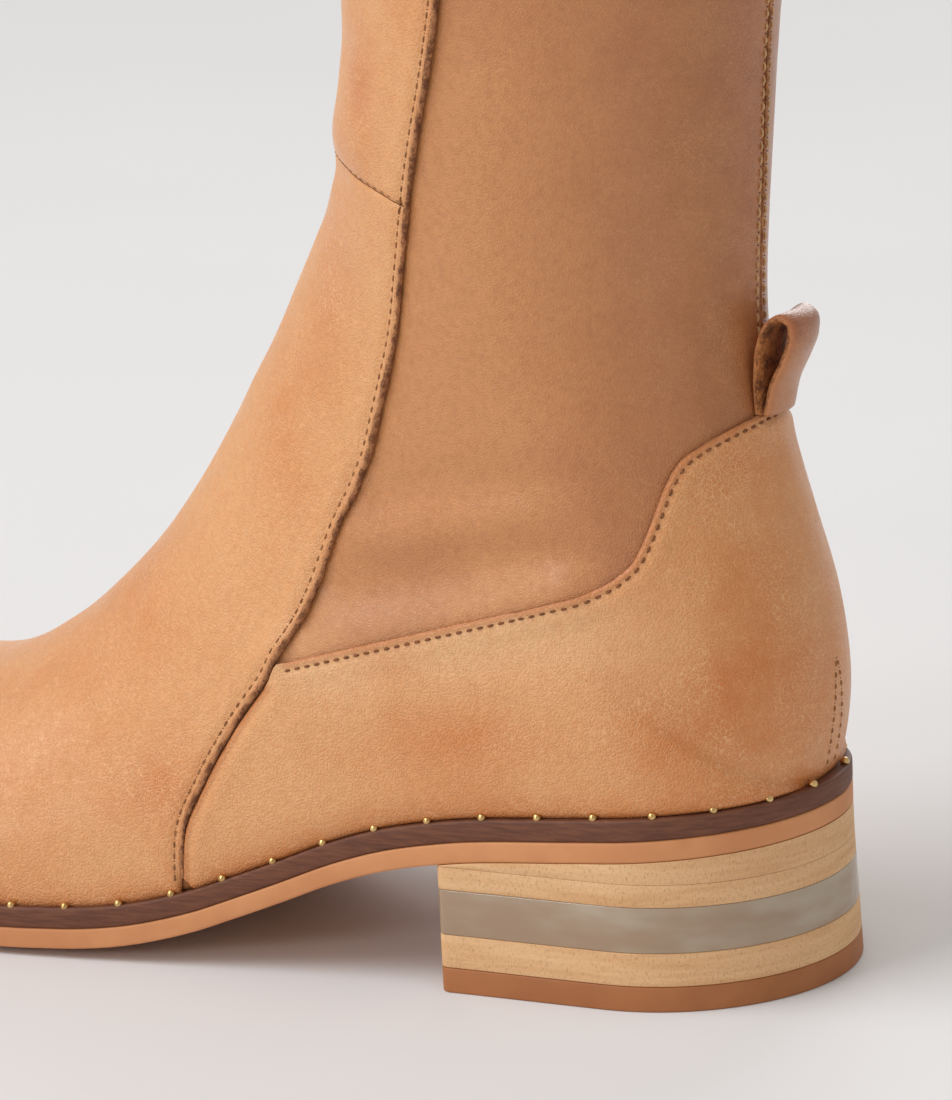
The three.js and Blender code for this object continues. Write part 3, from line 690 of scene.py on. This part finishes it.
def leather_look(name, base, burnish_and_shade, pale, grain, grain_depth, lines, roughness, coat=0.06):
    """Grained leather: burnished patches with painted shade, a painted sheen, pale crackle between
    grains, painted edges.
    """
    look = Look(name, **{"IOR": 1.45, "Coat Weight": coat, "Coat Roughness": 0.3})
    patchy = look.span(look.noise(90, 4, 0.6), 0.25, 0.75, 0.7, 1.15)
    cloud = look.times(look.mark("burnish_and_shade"), patchy)
    colour = look.mix(look.math("MINIMUM", cloud, 0.95), base, burnish_and_shade)
    # Painted sheen: the colour turns paler where the sheen mark stands in for a highlight.
    colour = look.mix(look.times(look.mark("painted_sheen"), 0.6), colour, pale)
    soft = look.span(look.noise(22, 3, 0.55), 0.48, 0.72, 0, 0.3)
    colour = look.mix(soft, colour, burnish_and_shade)
    colour = look.mix(look.span(look.noise(700, 3, 0.65), 0.4, 0.7, 0, 0.2), colour, burnish_and_shade)
    bent = look.add("ShaderNodeMixRGB", {
        0: 0.0022, 1: look.place, 2: look.add("ShaderNodeTexNoise", {
            "Vector": look.place, "Scale": 260.0, "Detail": 3.0}).outputs["Color"]}).outputs[0]
    coarse, fine = look.cells(grain, bent), look.cells(grain * 1.9, bent)
    worn = look.span(look.noise(80, 3, 0.6), 0.3, 0.62, 0.3, 1)
    line = look.math("MAXIMUM", look.span(coarse, 0, 0.08, 1, 0),
                     look.times(look.span(fine, 0, 0.12, 1, 0), 0.6))
    bared = look.times(worn, look.span(cloud, 0, 0.6, 0.35, 1))
    colour = look.mix(look.times(look.times(line, bared), lines), colour, pale)
    colour = look.mix(look.times(look.mark("edge"), 0.85), colour, EDGE_PAINT)
    look.set("Base Color", colour)
    uneven = look.span(look.noise(130, 2), 0.3, 0.7, roughness - 0.06, roughness + 0.08)
    look.set("Roughness", uneven)
    height = look.math("ADD", look.span(coarse, 0, 0.25), look.times(fine, 0.8))
    look.bump(look.math("ADD", height, look.noise(2600, 2)), grain_depth)
    return look.material


def suede_look(name, light, dark):
    look = Look(name, Roughness=0.95)
    fibres, worn = look.noise(1900, 4, 0.75), look.noise(420, 3, 0.6)
    worn = look.math("ADD", look.times(fibres, 0.5), look.times(worn, 0.5))
    look.set("Base Color", look.mix(look.span(worn, 0.4, 0.6), light, dark))
    look.bump(look.noise(3000, 3, 0.7), 0.25)
    return look.material


def wood_look(name):
    """Stacked wood with a level grain, dark flecks and streaks."""
    look = Look(name, Roughness=0.62)
    streaks = look.noise(1, 4, 0.6, look.stretched(45, 45, 700))
    colour = look.mix(look.span(streaks, 0.3, 0.75), srgb(227, 184, 137), srgb(212, 162, 112))
    flecks = look.noise(1, 3, 0.75, look.stretched(3000, 3000, 1700))
    colour = look.mix(look.span(flecks, 0.5, 0.7, 0, 0.5), colour, srgb(158, 106, 66))
    look.set("Base Color", colour)
    look.bump(flecks, 0.08)
    return look.material


def plain_look(name, light, dark, scale, roughness, depth, **values):
    look = Look(name, Roughness=roughness, **values)
    look.set("Base Color", look.mix(look.span(look.noise(scale, 3, 0.6), 0.35, 0.68), light, dark))
    look.bump(look.noise(scale * 6, 2), depth)
    return look.material


def streaked_look(name, light, dark, roughness, depth):
    """Edge-cut leather: fine level streaks with small pale scuffs."""
    look = Look(name, Roughness=roughness)
    streaks = look.noise(1, 4, 0.65, look.stretched(160, 160, 1700))
    colour = look.mix(look.span(streaks, 0.3, 0.72), light, dark)
    scuffs = look.noise(1, 3, 0.7, look.stretched(420, 420, 2100))
    look.set("Base Color", look.mix(look.span(scuffs, 0.66, 0.78, 0, 0.5), colour, SCUFF))
    look.bump(streaks, depth)
    return look.material


def clear_look(name):
    """Cloudy clear layer with faint milky wisps running along it."""
    look = Look(name, Roughness=0.14, IOR=1.49)
    wisps = look.noise(1, 3, 0.55, look.stretched(34, 34, 110))
    look.set("Base Color", look.mix(look.span(wisps, 0.4, 0.72), srgb(180, 152, 126),
                                    srgb(200, 185, 164)))
    look.set("Transmission Weight", 0.22)
    return look.material


SCUFF = srgb(176, 120, 82)
# Colour of burnished patches, and of the painted shade in the crease above the welt.
BURNISH_AND_SHADE = srgb(201, 113, 46)
EDGE_PAINT = srgb(196, 118, 66)
LEATHER = leather_look("leather", srgb(222, 161, 107), BURNISH_AND_SHADE, srgb(246, 204, 156),
                       1300, 0.075, 0.54, 0.36, 0.16)
# Side leather: its burnish colour also paints the shade toward the back, and its pale colour paints
# the sheen.
SIDE_LEATHER = leather_look("side_leather", srgb(201, 136, 84), srgb(150, 80, 42),
                            srgb(222, 166, 118), 1700, 0.05, 0.4, 0.32, 0.3)
LINING = plain_look("lining", srgb(214, 178, 138), srgb(196, 156, 114), 120, 0.75, 0.04)
CUT_EDGE = suede_look("cut_edge", srgb(190, 130, 84), srgb(128, 78, 46))
RAW_EDGE = suede_look("raw_edge", srgb(192, 134, 90), srgb(116, 70, 44))
LOOP_SUEDE = suede_look("loop_suede", srgb(186, 116, 62), srgb(104, 58, 28))
THREAD = plain_look("thread", srgb(168, 116, 72), srgb(126, 82, 50), 1500, 0.8, 0.06)
DARK_THREAD = plain_look("dark_thread", srgb(146, 90, 50), srgb(108, 64, 35), 1500, 0.8, 0.06)
PALE_THREAD = plain_look("pale_thread", srgb(216, 174, 128), srgb(186, 142, 98), 1500, 0.8, 0.06)
HOLE = plain_look("needle_hole", srgb(106, 62, 36), srgb(80, 46, 28), 900, 0.95, 0.02)
WELT = streaked_look("welt", srgb(116, 68, 44), srgb(90, 48, 29), 0.62, 0.06)
OUTSOLE = plain_look("outsole", srgb(212, 146, 96), srgb(202, 134, 86), 60, 0.6, 0.03)
INSOLE = plain_look("insole", srgb(214, 178, 138), srgb(190, 148, 106), 140, 0.8, 0.05)
WOOD = wood_look("wood")
ACRYLIC = clear_look("acrylic")
RUBBER = plain_look("rubber", srgb(172, 108, 61), srgb(160, 98, 53), 60, 0.6, 0.03)
GOLD = plain_look("gold", srgb(224, 190, 132), srgb(192, 154, 98), 700, 0.27, 0.01, Metallic=1.0)


# ---- Upper --------------------------------------------------------------
EDGE_SHARES = np.array([0.05, 0.036, 0.025, 0.017, 0.011, 0.006, 0.0025, 0])
STITCH_IN = 1.3               # stitch row to the panel's edge
EDGE_ROUND, EDGE_ROUND_WIDTH = 0.4, 0.7
SEWN_DEPTH, SEWN_WIDTH = 0.26, 0.5
PUFF_RISE, PUFF_IN, PUFF_WIDTH = 0.2, 2.0, 1.4


def half_shares(count):
    return np.r_[np.linspace(0, 0.935, count), 1 - EDGE_SHARES]


def both_sides(shares):
    return np.r_[-shares[:0:-1], shares]


def edged(low, high, count):
    """Rows from low to high, closer together at both ends."""
    near = np.array([0, 0.012, 0.03, 0.055, 0.09, 0.14])
    return np.r_[low + near, np.linspace(low + 0.2, high - 0.2, count), high - near[::-1]]


def panel_depth(distance):
    """Depth of a panel's face near its cut edge: rounded, sewn down, then puffed."""
    rounded = EDGE_ROUND * (1 - smoothstep(0, EDGE_ROUND_WIDTH, distance))
    sewn = SEWN_DEPTH * bump(distance, STITCH_IN, SEWN_WIDTH)
    puffed = PUFF_RISE * bump(distance, STITCH_IN + PUFF_IN, PUFF_WIDTH)
    return rounded + sewn - puffed


def edge_line(station, turn, side):
    return boot_points(station, turn, side, 0).reshape(-1, 3)


def ridge_grid(stations, shares, limit):
    s = np.repeat(stations[:, None], len(shares), 1)
    u = np.repeat(shares[None], len(stations), 0)
    return s, np.abs(u) * limit(s), np.where(u < 0, -1.0, 1.0)


def make_panel(node, grid, seams, crossing, caps=(False, True)):
    at = boot_points(*grid, 0)
    away = nearest_distance(at, np.concatenate(seams))
    to_cross = nearest_distance(at, np.concatenate(crossing))
    depth = panel_depth(away) + 0.3 * bump(to_cross, 0, 0.55) + 0.12 * bump(to_cross, 0, 1.8)
    outer, inner = surface(*grid, depth), surface(*grid, PANEL_THICKNESS)
    # burnish, with painted shade in the crease above the welt
    marks = {"edge": 0.2 * bump(away, 0, 0.8), "burnish_and_shade": burnish_and_crease_shade(outer)}
    panel = skin(node + "_panel", outer, inner, [LEATHER, LINING, CUT_EDGE],
                 [True] * len(at), None, caps, marks)
    dress(panel, "leather", node)


def make_upper():
    stations = np.r_[np.linspace(0, 5, 56)[:-1], np.linspace(5, 18, 90)[:-1],
                     np.linspace(18, 24, 54)[:-1], np.linspace(24, LAST_STATION, 90)]
    shares = both_sides(np.linspace(0, 1, 54))
    s, t, side = ridge_grid(stations, shares, lambda s: np.full_like(s, math.pi))
    outer = surface(s, t, side, SIDE_DEPTH)
    inner = surface(s, t, side, LINING_DEPTH)
    open_rows = list(stations < LAST_FOOT_STATION - 1e-6)
    # Painted shade: the side leather is coloured darker toward the back, where less light falls.
    painted_back_shade = 1 - smoothstep(4, 46, CENTRE_FORWARD - outer[..., 1])
    marks = {"edge": np.zeros(s.shape), "burnish_and_shade": 0.74 * painted_back_shade,
             # painted sheen near the quarter's top edge
             "painted_sheen": patches(outer, PAINTED_SHEEN_PATCHES)}
    upper = skin("upper_leather", outer, inner, [SIDE_LEATHER, LINING, CUT_EDGE],
                 open_rows, None, (False, True), marks)
    dress(upper, "side_leather", "upper")


SEAM_STATIONS = np.linspace(10.6, LAST_STATION, 700)
OUTER, INNER = 1.0, -1.0
SIDES = {"outer": OUTER, "inner": INNER}


def seam_path(side):
    return SEAM_STATIONS, seam_turn(SEAM_STATIONS), side


def cross_path(side):
    turn = np.linspace(0.0, seam_turn(24.6), 120)
    return cross_station(turn), turn, side


def quarter_path(side):
    station = np.linspace(13.3, 23.645, 500)
    return station, quarter_turn(station), side


CROSS_GAP = 0.012             # half the seam between vamp and shaft, in stations
CROSS_PULL_FROM, CROSS_PULL_TO = 20, 30


def front_grid(base, shares, pull_start, gap):
    """Grid between both side seams, its rows bent to follow the instep seam."""
    s, turn, side = ridge_grid(base, shares, seam_turn)
    pull = np.clip((s - pull_start) / (CROSS_SEAM_STATION - pull_start), 0, 1)
    s = s + pull * (cross_station(turn) - CROSS_SEAM_STATION + gap)
    return s, np.abs(shares)[None] * seam_turn(s), side


def make_front_panels():
    seams = [edge_line(*seam_path(side)) for side in SIDES.values()]
    crossing = [edge_line(*cross_path(side)) for side in SIDES.values()]
    shares = both_sides(half_shares(40))
    base = np.r_[np.linspace(0, 5, 50)[:-1], np.linspace(5, 18, 84)[:-1],
                 edged(18, CROSS_SEAM_STATION, 50)[6:]]
    make_panel("vamp", front_grid(base, shares, CROSS_PULL_FROM, -CROSS_GAP), seams, crossing)
    base = edged(CROSS_SEAM_STATION, LAST_STATION, 96)
    make_panel("shaft_front", front_grid(base, shares, CROSS_PULL_TO, CROSS_GAP), seams,
               crossing, caps=(True, True))


# The quarter's edge beside the seam: how many of its points and how far behind it.
BESIDE_SEAM, BESIDE_TURN = 60, 0.03


def make_quarter():
    stations = np.r_[edged(QUARTER_FIRST_STATION, 18, 96)[:-6], np.linspace(18, 23, 46)[:-1],
                     edged(23, QUARTER_LAST_STATION, 10)[6:]]
    u = 1 - half_shares(44)[::-1]
    u = np.r_[u, 1 + (1 - u[::-1])]
    cols = len(u)
    s = np.repeat(stations[:, None], cols, 1)
    side = np.where(np.arange(cols) < cols // 2, OUTER, INNER) * np.ones_like(s)
    from_edge = np.minimum(u, 2 - u)[None]
    first = quarter_turn(s)
    t = first + (math.pi - first) * from_edge
    lines = [edge_line(*quarter_path(x)) for x in SIDES.values()]
    for x in SIDES.values():
        station, turn, _ = seam_path(x)
        lines.append(edge_line(station[:BESIDE_SEAM], turn[:BESIDE_SEAM] + BESIDE_TURN, x))
    open_rows = list(stations < LAST_FOOT_STATION - 1e-6)
    away = nearest_distance(boot_points(s, t, side, 0), np.concatenate(lines))
    outer = surface(s, t, side, panel_depth(away))
    inner = surface(s, t, side, PANEL_THICKNESS)
    # burnish, with painted shade in the crease above the welt
    marks = {"edge": bump(away, 0, 0.9), "burnish_and_shade": burnish_and_crease_shade(outer),
             # painted sheen near the top edge
             "painted_sheen": patches(outer, PAINTED_SHEEN_PATCHES)}
    quarter = skin("heel_quarter_panel", outer, inner, [LEATHER, LINING, CUT_EDGE],
                   open_rows, cols // 2 - 1, (True, True), marks)
    dress(quarter, "leather", "heel_quarter")


# ---- Seams and stitching ------------------------------------------------
def sew(name, path, pitch, length, radius, material, depth, holes=True):
    """A row of threads along a path of (station, turn, side), with or without holes."""
    line, tangents, normals, place = even_line(*path, 0, pitch)
    line = line + normals * (relief(*place) - depth)[:, None]
    dress(new_mesh(name, *stitch_parts(line, tangents, normals, length, radius),
                   [material]), "leather")
    if holes:
        between = line + tangents * pitch / 2
        dress(new_mesh(name + "_holes", *hole_parts(between, tangents, normals, radius * 0.7),
                       [HOLE], smooth=False), "leather")


RAW_EDGE_BEHIND, RAW_EDGE_SINK, RAW_EDGE_PITCH = 0.22, 0.42, 0.5
RAW_EDGE_RADII = (0.4, 0.62)


def make_raw_edge(label, side):
    """Rough suede edge standing behind the front panels' seam."""
    path = offset_path(*seam_path(side), RAW_EDGE_BEHIND, "turn")
    line, tangents, normals, place = even_line(*path, 0, RAW_EDGE_PITCH)
    ragged = 0.4 * soft_noise(line, 1.1, 7) + 0.45 * soft_noise(line, 6.0, 8)
    line = line + normals * (relief(*place) - RAW_EDGE_SINK + 0.3 * ragged)[:, None]
    points, faces = tube(line, *RAW_EDGE_RADII, normals, tangents, ragged)
    dress(new_mesh("raw_edge_" + label, points, faces, [RAW_EDGE]), "leather")


def back_path(side):
    station = np.linspace(QUARTER_LAST_STATION + 0.35, LAST_STATION - 0.05, 400)
    return station, np.full(len(station), math.pi - 0.001), side


# Stitch rows on each side: name, line, mm off the line and which way, then pitch,
# length, thread radius, thread, how deep it lies and whether needle holes show.
STITCH_ROWS = (
    ("side", seam_path, -STITCH_IN, "turn", 2.1, 1.5, 0.2, THREAD, 0.24, True),
    ("quarter", quarter_path, STITCH_IN, "turn", 2.1, 1.25, 0.24, DARK_THREAD, 0.14, False),
    ("cross", cross_path, 0.35, "station", 2.2, 1.5, 0.17, THREAD, 0.36, True),
    ("back", back_path, -1.1, "turn", 2.3, 1.6, 0.24, PALE_THREAD, SIDE_DEPTH - 0.12, True),
)


def make_stitching():
    for label, side in SIDES.items():
        for row, path_of, off, toward, *sewing in STITCH_ROWS:
            sew(row + "_stitch_" + label, offset_path(*path_of(side), off, toward), *sewing)
        make_raw_edge(label, side)


DART_BOTTOM, DART_ROUND_FROM, DART_TOP = 38.5, 46.0, 57.5
DART_HALF, DART_BEHIND = 1.8, 95.0


def find_on_boot(targets):
    """Station and turn of the outer side's points nearest to (x, height) at the back."""
    s, t = np.meshgrid(np.linspace(15, 22, 240), np.linspace(1.9, math.pi, 200), indexing="ij")
    grid = boot_points(s, t, OUTER, 0)
    found = [np.argmin(((grid[..., 0] - x) ** 2 + (grid[..., 2] - z) ** 2)
                       + 1e6 * (grid[..., 1] < DART_BEHIND)) for x, z in targets]
    return s.ravel()[found], t.ravel()[found]


def make_heel_dart():
    """Rounded back tab: one row of stitches from the welt up and over each side."""
    height = np.linspace(DART_BOTTOM, DART_TOP, 60)
    rounding = np.sqrt(np.clip((DART_TOP - height) / (DART_TOP - DART_ROUND_FROM), 0, 1))
    x = DART_HALF * np.minimum(1, rounding + 0.02)
    station, turn = find_on_boot(zip(x, height))
    smooth = np.ones(9) / 9
    station, turn = (np.convolve(np.pad(v, 4, mode="edge"), smooth, "valid")
                     for v in (station, turn))
    for label, side in SIDES.items():
        sew("dart_stitch_" + label, (station, turn, side), 2.0, 1.35, 0.24, THREAD, 0.05)


BACK_SEAM_PITCH, BACK_SEAM_RADII = 1.2, (0.42, 0.22)


def make_back_seam():
    """Narrow folded strip down the centre of the shaft's back."""
    station = np.linspace(QUARTER_LAST_STATION - 0.3, LAST_STATION - 0.02, 400)
    line, tangents, normals, _ = even_line(station, math.pi - 1e-4, OUTER, SIDE_DEPTH,
                                           BACK_SEAM_PITCH)
    normals = unit(normals * [0, 1, 1])
    points, faces = tube(line, *BACK_SEAM_RADII, normals, tangents)
    dress(new_mesh("back_seam", points, faces, [CUT_EDGE]), "side_leather")


# ---- Pull loop ----------------------------------------------------------
LOOP_WIDTH, LOOP_THICKNESS, LOOP_WRAP, LOOP_FOLD = 12.0, 1.5, 0.03, 117.5


def make_pull_loop():
    chord = np.r_[0, np.cumsum(np.hypot(*np.diff(PULL_LOOP, axis=0).T))]
    t = np.linspace(0, chord[-1], 90)
    forward = smooth_curve(chord, PULL_LOOP[:, 0], t)
    height = smooth_curve(chord, PULL_LOOP[:, 1], t)
    y = CENTRE_FORWARD - forward
    tangent = unit(np.stack([np.gradient(y), np.gradient(height)], -1))
    x = np.r_[-1, -0.985, -0.94, np.linspace(-0.85, 0.85, 15), 0.94, 0.985, 1] * LOOP_WIDTH / 2
    rounding = np.sqrt(np.clip(1 - (np.abs(x) / (LOOP_WIDTH / 2)) ** 14, 0, 1)) * 0.8 + 0.2

    def face(offset):
        off = offset * rounding[None]
        return np.stack([
            np.repeat(x[None], len(t), 0),
            y[:, None] + tangent[:, 1:] * off - LOOP_WRAP * x[None] ** 2,
            height[:, None] - tangent[:, :1] * off], -1)

    half = LOOP_THICKNESS / 2
    outer = face(half)
    cut = np.exp(-((LOOP_WIDTH / 2 - np.abs(x)) / 0.7) ** 2)
    fold = 0.4 + 0.6 * bump(height, LOOP_FOLD, 3.0)
    marks = {"edge": np.repeat(0.5 * cut[None], len(t), 0),
             "burnish_and_shade": np.repeat(fold[:, None], len(x), 1)}
    loop = skin("pull_loop_strap", outer, face(-half), [LOOP_SUEDE, SIDE_LEATHER, CUT_EDGE],
                [True] * len(t), None, (True, True), marks)
    dress(loop, "leather", "pull_loop")


# ---- Sole and heel ------------------------------------------------------
SOLE_ACROSS = np.array([-1, -0.9, -0.75, -0.5, 0, 0.5, 0.75, 0.9, 1])
BEVEL_STEPS = np.linspace(0, math.pi / 2, 5)


def eased(low, high, count):
    return low + (high - low) * (1 - np.cos(np.linspace(0, math.pi, count))) / 2


def block(name, grid, profile, material, slot, node):
    """Closed block: grids of points at each (inset, level) of the profile."""
    grids = [grid(inset, level) for inset, level in profile]
    n, m = grids[0].shape[:2]
    rim = [(i, 0) for i in range(n)] + [(n - 1, j) for j in range(1, m)]
    rim += [(i, m - 1) for i in range(n - 2, -1, -1)] + [(0, j) for j in range(m - 2, 0, -1)]
    points, faces = np.concatenate([g.reshape(-1, 3) for g in grids]), []
    size = n * m
    for base, flip in ((0, True), (size * (len(grids) - 1), False)):
        for i in range(n - 1):
            for j in range(m - 1):
                a = base + i * m + j
                quad = (a, a + 1, a + m + 1, a + m)
                faces.append(quad[::-1] if flip else quad)
    for layer in range(len(grids) - 1):
        for k in range(len(rim)):
            (i, j), (p, q) = rim[k], rim[(k + 1) % len(rim)]
            a, b = layer * size + i * m + j, layer * size + p * m + q
            faces.append((a, b, b + size, a + size))
    used = sorted({v for f in faces for v in f})
    place = {v: i for i, v in enumerate(used)}
    piece = new_mesh(name, points[used], [tuple(place[v] for v in f) for f in faces], [material])
    weld(piece, 0.004)
    dress(piece, slot, node)


def rounded_profile(bottom, top, bevel, inset=0.0, span=1.0):
    """(inset, level) pairs with both edges rounded; span scales the bevel's level."""
    rise = bevel * span
    lower = [(inset + bevel * (1 - math.sin(a)), bottom + rise * (1 - math.cos(a)))
             for a in BEVEL_STEPS]
    upper = [(i, top - (level - bottom)) for i, level in reversed(lower)]
    return lower + upper


def sole_grid(inset, above):
    forward = eased(SOLE_BACK + inset, SOLE_FRONT - inset, 150)[:, None]
    across = SOLE_ACROSS[None]
    x = outline_centre(forward) + across * outline_half(forward, inset)
    z = sole_level(forward, across, outline_round(forward, inset), above)
    return np.stack(np.broadcast_arrays(x, CENTRE_FORWARD - forward, z), -1)


LAYER_SEAM = 0.03             # hairline between two layers
CORNER = 1.8                  # round of the breast's upright corners
BREAST_LEAN_TOP = 24.0        # the breast stands upright above this height


def heel_spread(height):
    return HEEL_SPREAD * np.maximum(0, 1 - height / HEEL_SPREAD_HEIGHT)


def heel_grid(bottom_at, top_at):
    across = np.array([-1, -0.6, 0, 0.6, 1])[None]

    def grid(inset, share):
        reference = float(bottom_at(0.0) + (top_at(0.0) - bottom_at(0.0)) * share)
        back = SOLE_BACK - heel_spread(reference) + inset
        lean = HEEL_BREAST_LEAN * min(reference, BREAST_LEAN_TOP) / HEEL_SPREAD_HEIGHT
        breast = HEEL_BREAST + lean
        eases = np.r_[1 - np.cos(np.linspace(0, math.pi / 2, 60))[:-2],
                      1 - 0.03 * (1 - np.sin(np.linspace(0.2, math.pi / 2, 8)))]
        forward = (back + (breast - inset - back) * eases)[:, None]
        level = bottom_at(forward) + (top_at(forward) - bottom_at(forward)) * share
        to_breast = np.clip((forward - (breast - inset) + CORNER) / CORNER, 0, 1)
        half = outline_half(forward, inset - heel_spread(level))
        half = half - CORNER * (1 - np.sqrt(1 - to_breast ** 2))
        x = outline_centre(np.maximum(0, forward)) + across * half
        return np.stack(np.broadcast_arrays(x, CENTRE_FORWARD - forward, level), -1)

    return grid


def make_heel_layer(name, bottom, top, bevel, material, slot):
    bottom_at = lambda forward: bottom + LAYER_SEAM + 0 * forward
    top_at = top if callable(top) else (lambda forward: top + 0 * forward)
    thickness = float(top_at(0.0) - bottom_at(0.0))
    profile = rounded_profile(0.0, 1.0, bevel, span=1 / thickness)
    block(name, heel_grid(bottom_at, top_at), profile, material, slot, "heel_" + name)


# Heel layers under the wedge, from the floor up: name, top, bevel, material, slot.
HEEL_LAYERS = (
    ("top_piece", TOP_PIECE_TOP, 0.4, RUBBER, "rubber"),
    ("lower_lift", LOWER_LIFT_TOP, 0.22, WOOD, "wood"),
    ("clear_layer", CLEAR_LAYER_TOP, 0.22, ACRYLIC, "acrylic"),
    ("upper_lift", UPPER_LIFT_TOP, 0.16, WOOD, "wood"),
)


INSOLE_EASE = 1.2             # room between the insole and the lining


def make_sole():
    welt_bottom = OUTSOLE_THICKNESS + GAP / 2
    block("outsole_plate", sole_grid, rounded_profile(0, welt_bottom, 0.5),
          OUTSOLE, "outsole", "outsole")
    block("welt_strip", sole_grid, rounded_profile(welt_bottom + LAYER_SEAM, WELT_TOP, 0.55),
          WELT, "welt", "welt")
    inset = WELT_LEDGE + LINING_DEPTH + INSOLE_EASE
    bottom = WELT_TOP + GAP
    block("insole_board", sole_grid,
          rounded_profile(bottom, bottom + INSOLE_THICKNESS, 0.6, inset),
          INSOLE, "insole", "insole")
    bottom = -LAYER_SEAM
    for name, top, bevel, material, slot in HEEL_LAYERS:
        make_heel_layer(name, bottom, top + FLAT_GAP / 2, bevel, material, slot)
        bottom = top + FLAT_GAP / 2
    make_heel_layer("wedge", bottom,
                    lambda forward: tread_height(np.maximum(0, forward)) - LAYER_SEAM,
                    0.1, WOOD, "wood")


STUD_PITCH, STUD_RADIUS, STUD_START, STUD_END = 10.7, 0.85, 7.4, 2
STUD_INSET, STUD_ACROSS, STUD_RISE = 1.0, 0.95, 0.3
STUD_ROWS, STUD_COLS = 9, 14


def make_studs():
    """Small round studs in the crease between the welt and the upper."""
    forward = eased(SOLE_BACK + STUD_INSET, SOLE_FRONT - STUD_INSET, 900)
    parts = []
    for side in SIDES.values():
        x = outline_centre(forward) + side * outline_half(forward, STUD_INSET)
        z = sole_level(forward, STUD_ACROSS, outline_round(forward, STUD_INSET), WELT_TOP)
        line = np.stack([x, CENTRE_FORWARD - forward, z + STUD_RISE], -1)
        length = run_length(line)
        for at in np.arange(STUD_START, length[-1] - STUD_END, STUD_PITCH):
            centre = np.array([np.interp(at, length, line[:, k]) for k in range(3)])
            parts.append(ball(centre, STUD_RADIUS, STUD_ROWS, STUD_COLS))
    dress(new_mesh("welt_studs", *merge_parts(parts), [GOLD]), "welt")


def ball(centre, radius, rows, cols):
    """A round ball: rings of points between two poles."""
    tilt = (np.arange(1, rows) * math.pi / rows - math.pi / 2)[:, None]
    round_ = (np.arange(cols) * 2 * math.pi / cols)[None]
    rings = np.stack(np.broadcast_arrays(np.cos(tilt) * np.cos(round_),
                                         np.cos(tilt) * np.sin(round_), np.sin(tilt)), -1)
    poles = np.array([[0, 0, -1.0], [0, 0, 1.0]])
    points = centre + radius * np.concatenate([rings.reshape(-1, 3), poles])
    bottom, top, last = len(points) - 2, len(points) - 1, (rows - 2) * cols
    faces = ring_faces(rows - 1, cols, capped=False)
    for j in range(cols):
        k = (j + 1) % cols
        faces += [(bottom, k, j), (top, last + j, last + k)]
    return points, faces


# ---- Stage --------------------------------------------------------------
CAMERA_AZIMUTH, CAMERA_ELEVATION, CAMERA_ROLL = 117.0, 14.1, -2.4
CAMERA_DISTANCE, CAMERA_LENS = 912.0, 166.25
CAMERA_TARGET = (3.6, 56.55, 72.7)
FLOOR_HALF = 6000
SKY_STRENGTH = 0.63
# Suns: name, direction toward the light, strength, width in degrees.
SUNS = (
    ("key", (0.5, -0.66, 0.9), 0.68, 44),
    ("sheen", (0.86, -0.4, 0.32), 0.4, 12),
    ("far", (-0.8, -0.2, 0.33), 0.8, 34),
)
SOFTBOX_PLACE, SOFTBOX_SIZE, SOFTBOX_POWER = (0.6, -0.75, 1.3), 1.0, 8.0
BOOT_MIDDLE = 0.1             # height in metres that the softbox faces


def make_stage():
    corners = [(x * FLOOR_HALF, y * FLOOR_HALF, 0) for x, y in ((-1, -1), (1, -1), (1, 1), (-1, 1))]
    floor = new_mesh("floor", corners, [(0, 1, 2, 3)],
                     [plain_look("floor", srgb(227, 227, 230), srgb(224, 224, 227), 2, 0.9, 0.0)])
    world = bpy.data.worlds.new("studio")
    world.use_nodes = True
    background = world.node_tree.nodes["Background"]
    background.inputs["Color"].default_value = srgb(242, 239, 232)
    background.inputs["Strength"].default_value = SKY_STRENGTH
    bpy.context.scene.world = world
    for name, toward, strength, spread in SUNS:
        add_light(name, "SUN", (0, 0, 0), toward, energy=strength, angle=math.radians(spread))
    place = Vector(SOFTBOX_PLACE)
    add_light("softbox", "AREA", place, place - Vector((0, 0, BOOT_MIDDLE)),
              size=SOFTBOX_SIZE, energy=SOFTBOX_POWER)
    bpy.context.scene.view_settings.view_transform = "Standard"


def add_light(name, kind, place, toward, **settings):
    """A light that shines from the direction "toward"."""
    lamp = bpy.data.lights.new(name, kind)
    for key, value in settings.items():
        setattr(lamp, key, value)
    item = bpy.data.objects.new(name, lamp)
    item.location = place
    item.rotation_euler = Vector(toward).to_track_quat("Z", "Y").to_euler()
    bpy.context.scene.collection.objects.link(item)


def make_camera():
    azimuth, tilt, roll = (math.radians(v) for v in (
        CAMERA_AZIMUTH, 90 - CAMERA_ELEVATION, CAMERA_ROLL))
    turn = (Matrix.Rotation(azimuth, 4, "Z") @ Matrix.Rotation(tilt, 4, "X")
            @ Matrix.Rotation(roll, 4, "Z"))
    data = bpy.data.cameras.new("camera")
    data.lens, data.sensor_width = CAMERA_LENS, 36.0
    camera = bpy.data.objects.new("camera", data)
    place = (Vector(CAMERA_TARGET) + turn.col[2].xyz * CAMERA_DISTANCE) * MM
    camera.matrix_world = Matrix.Translation(place) @ turn
    bpy.context.scene.collection.objects.link(camera)
    bpy.context.scene.camera = camera


make_upper()
make_front_panels()
make_quarter()
make_stitching()
make_heel_dart()
make_back_seam()
make_pull_loop()
make_sole()
make_studs()
make_stage()
make_camera()
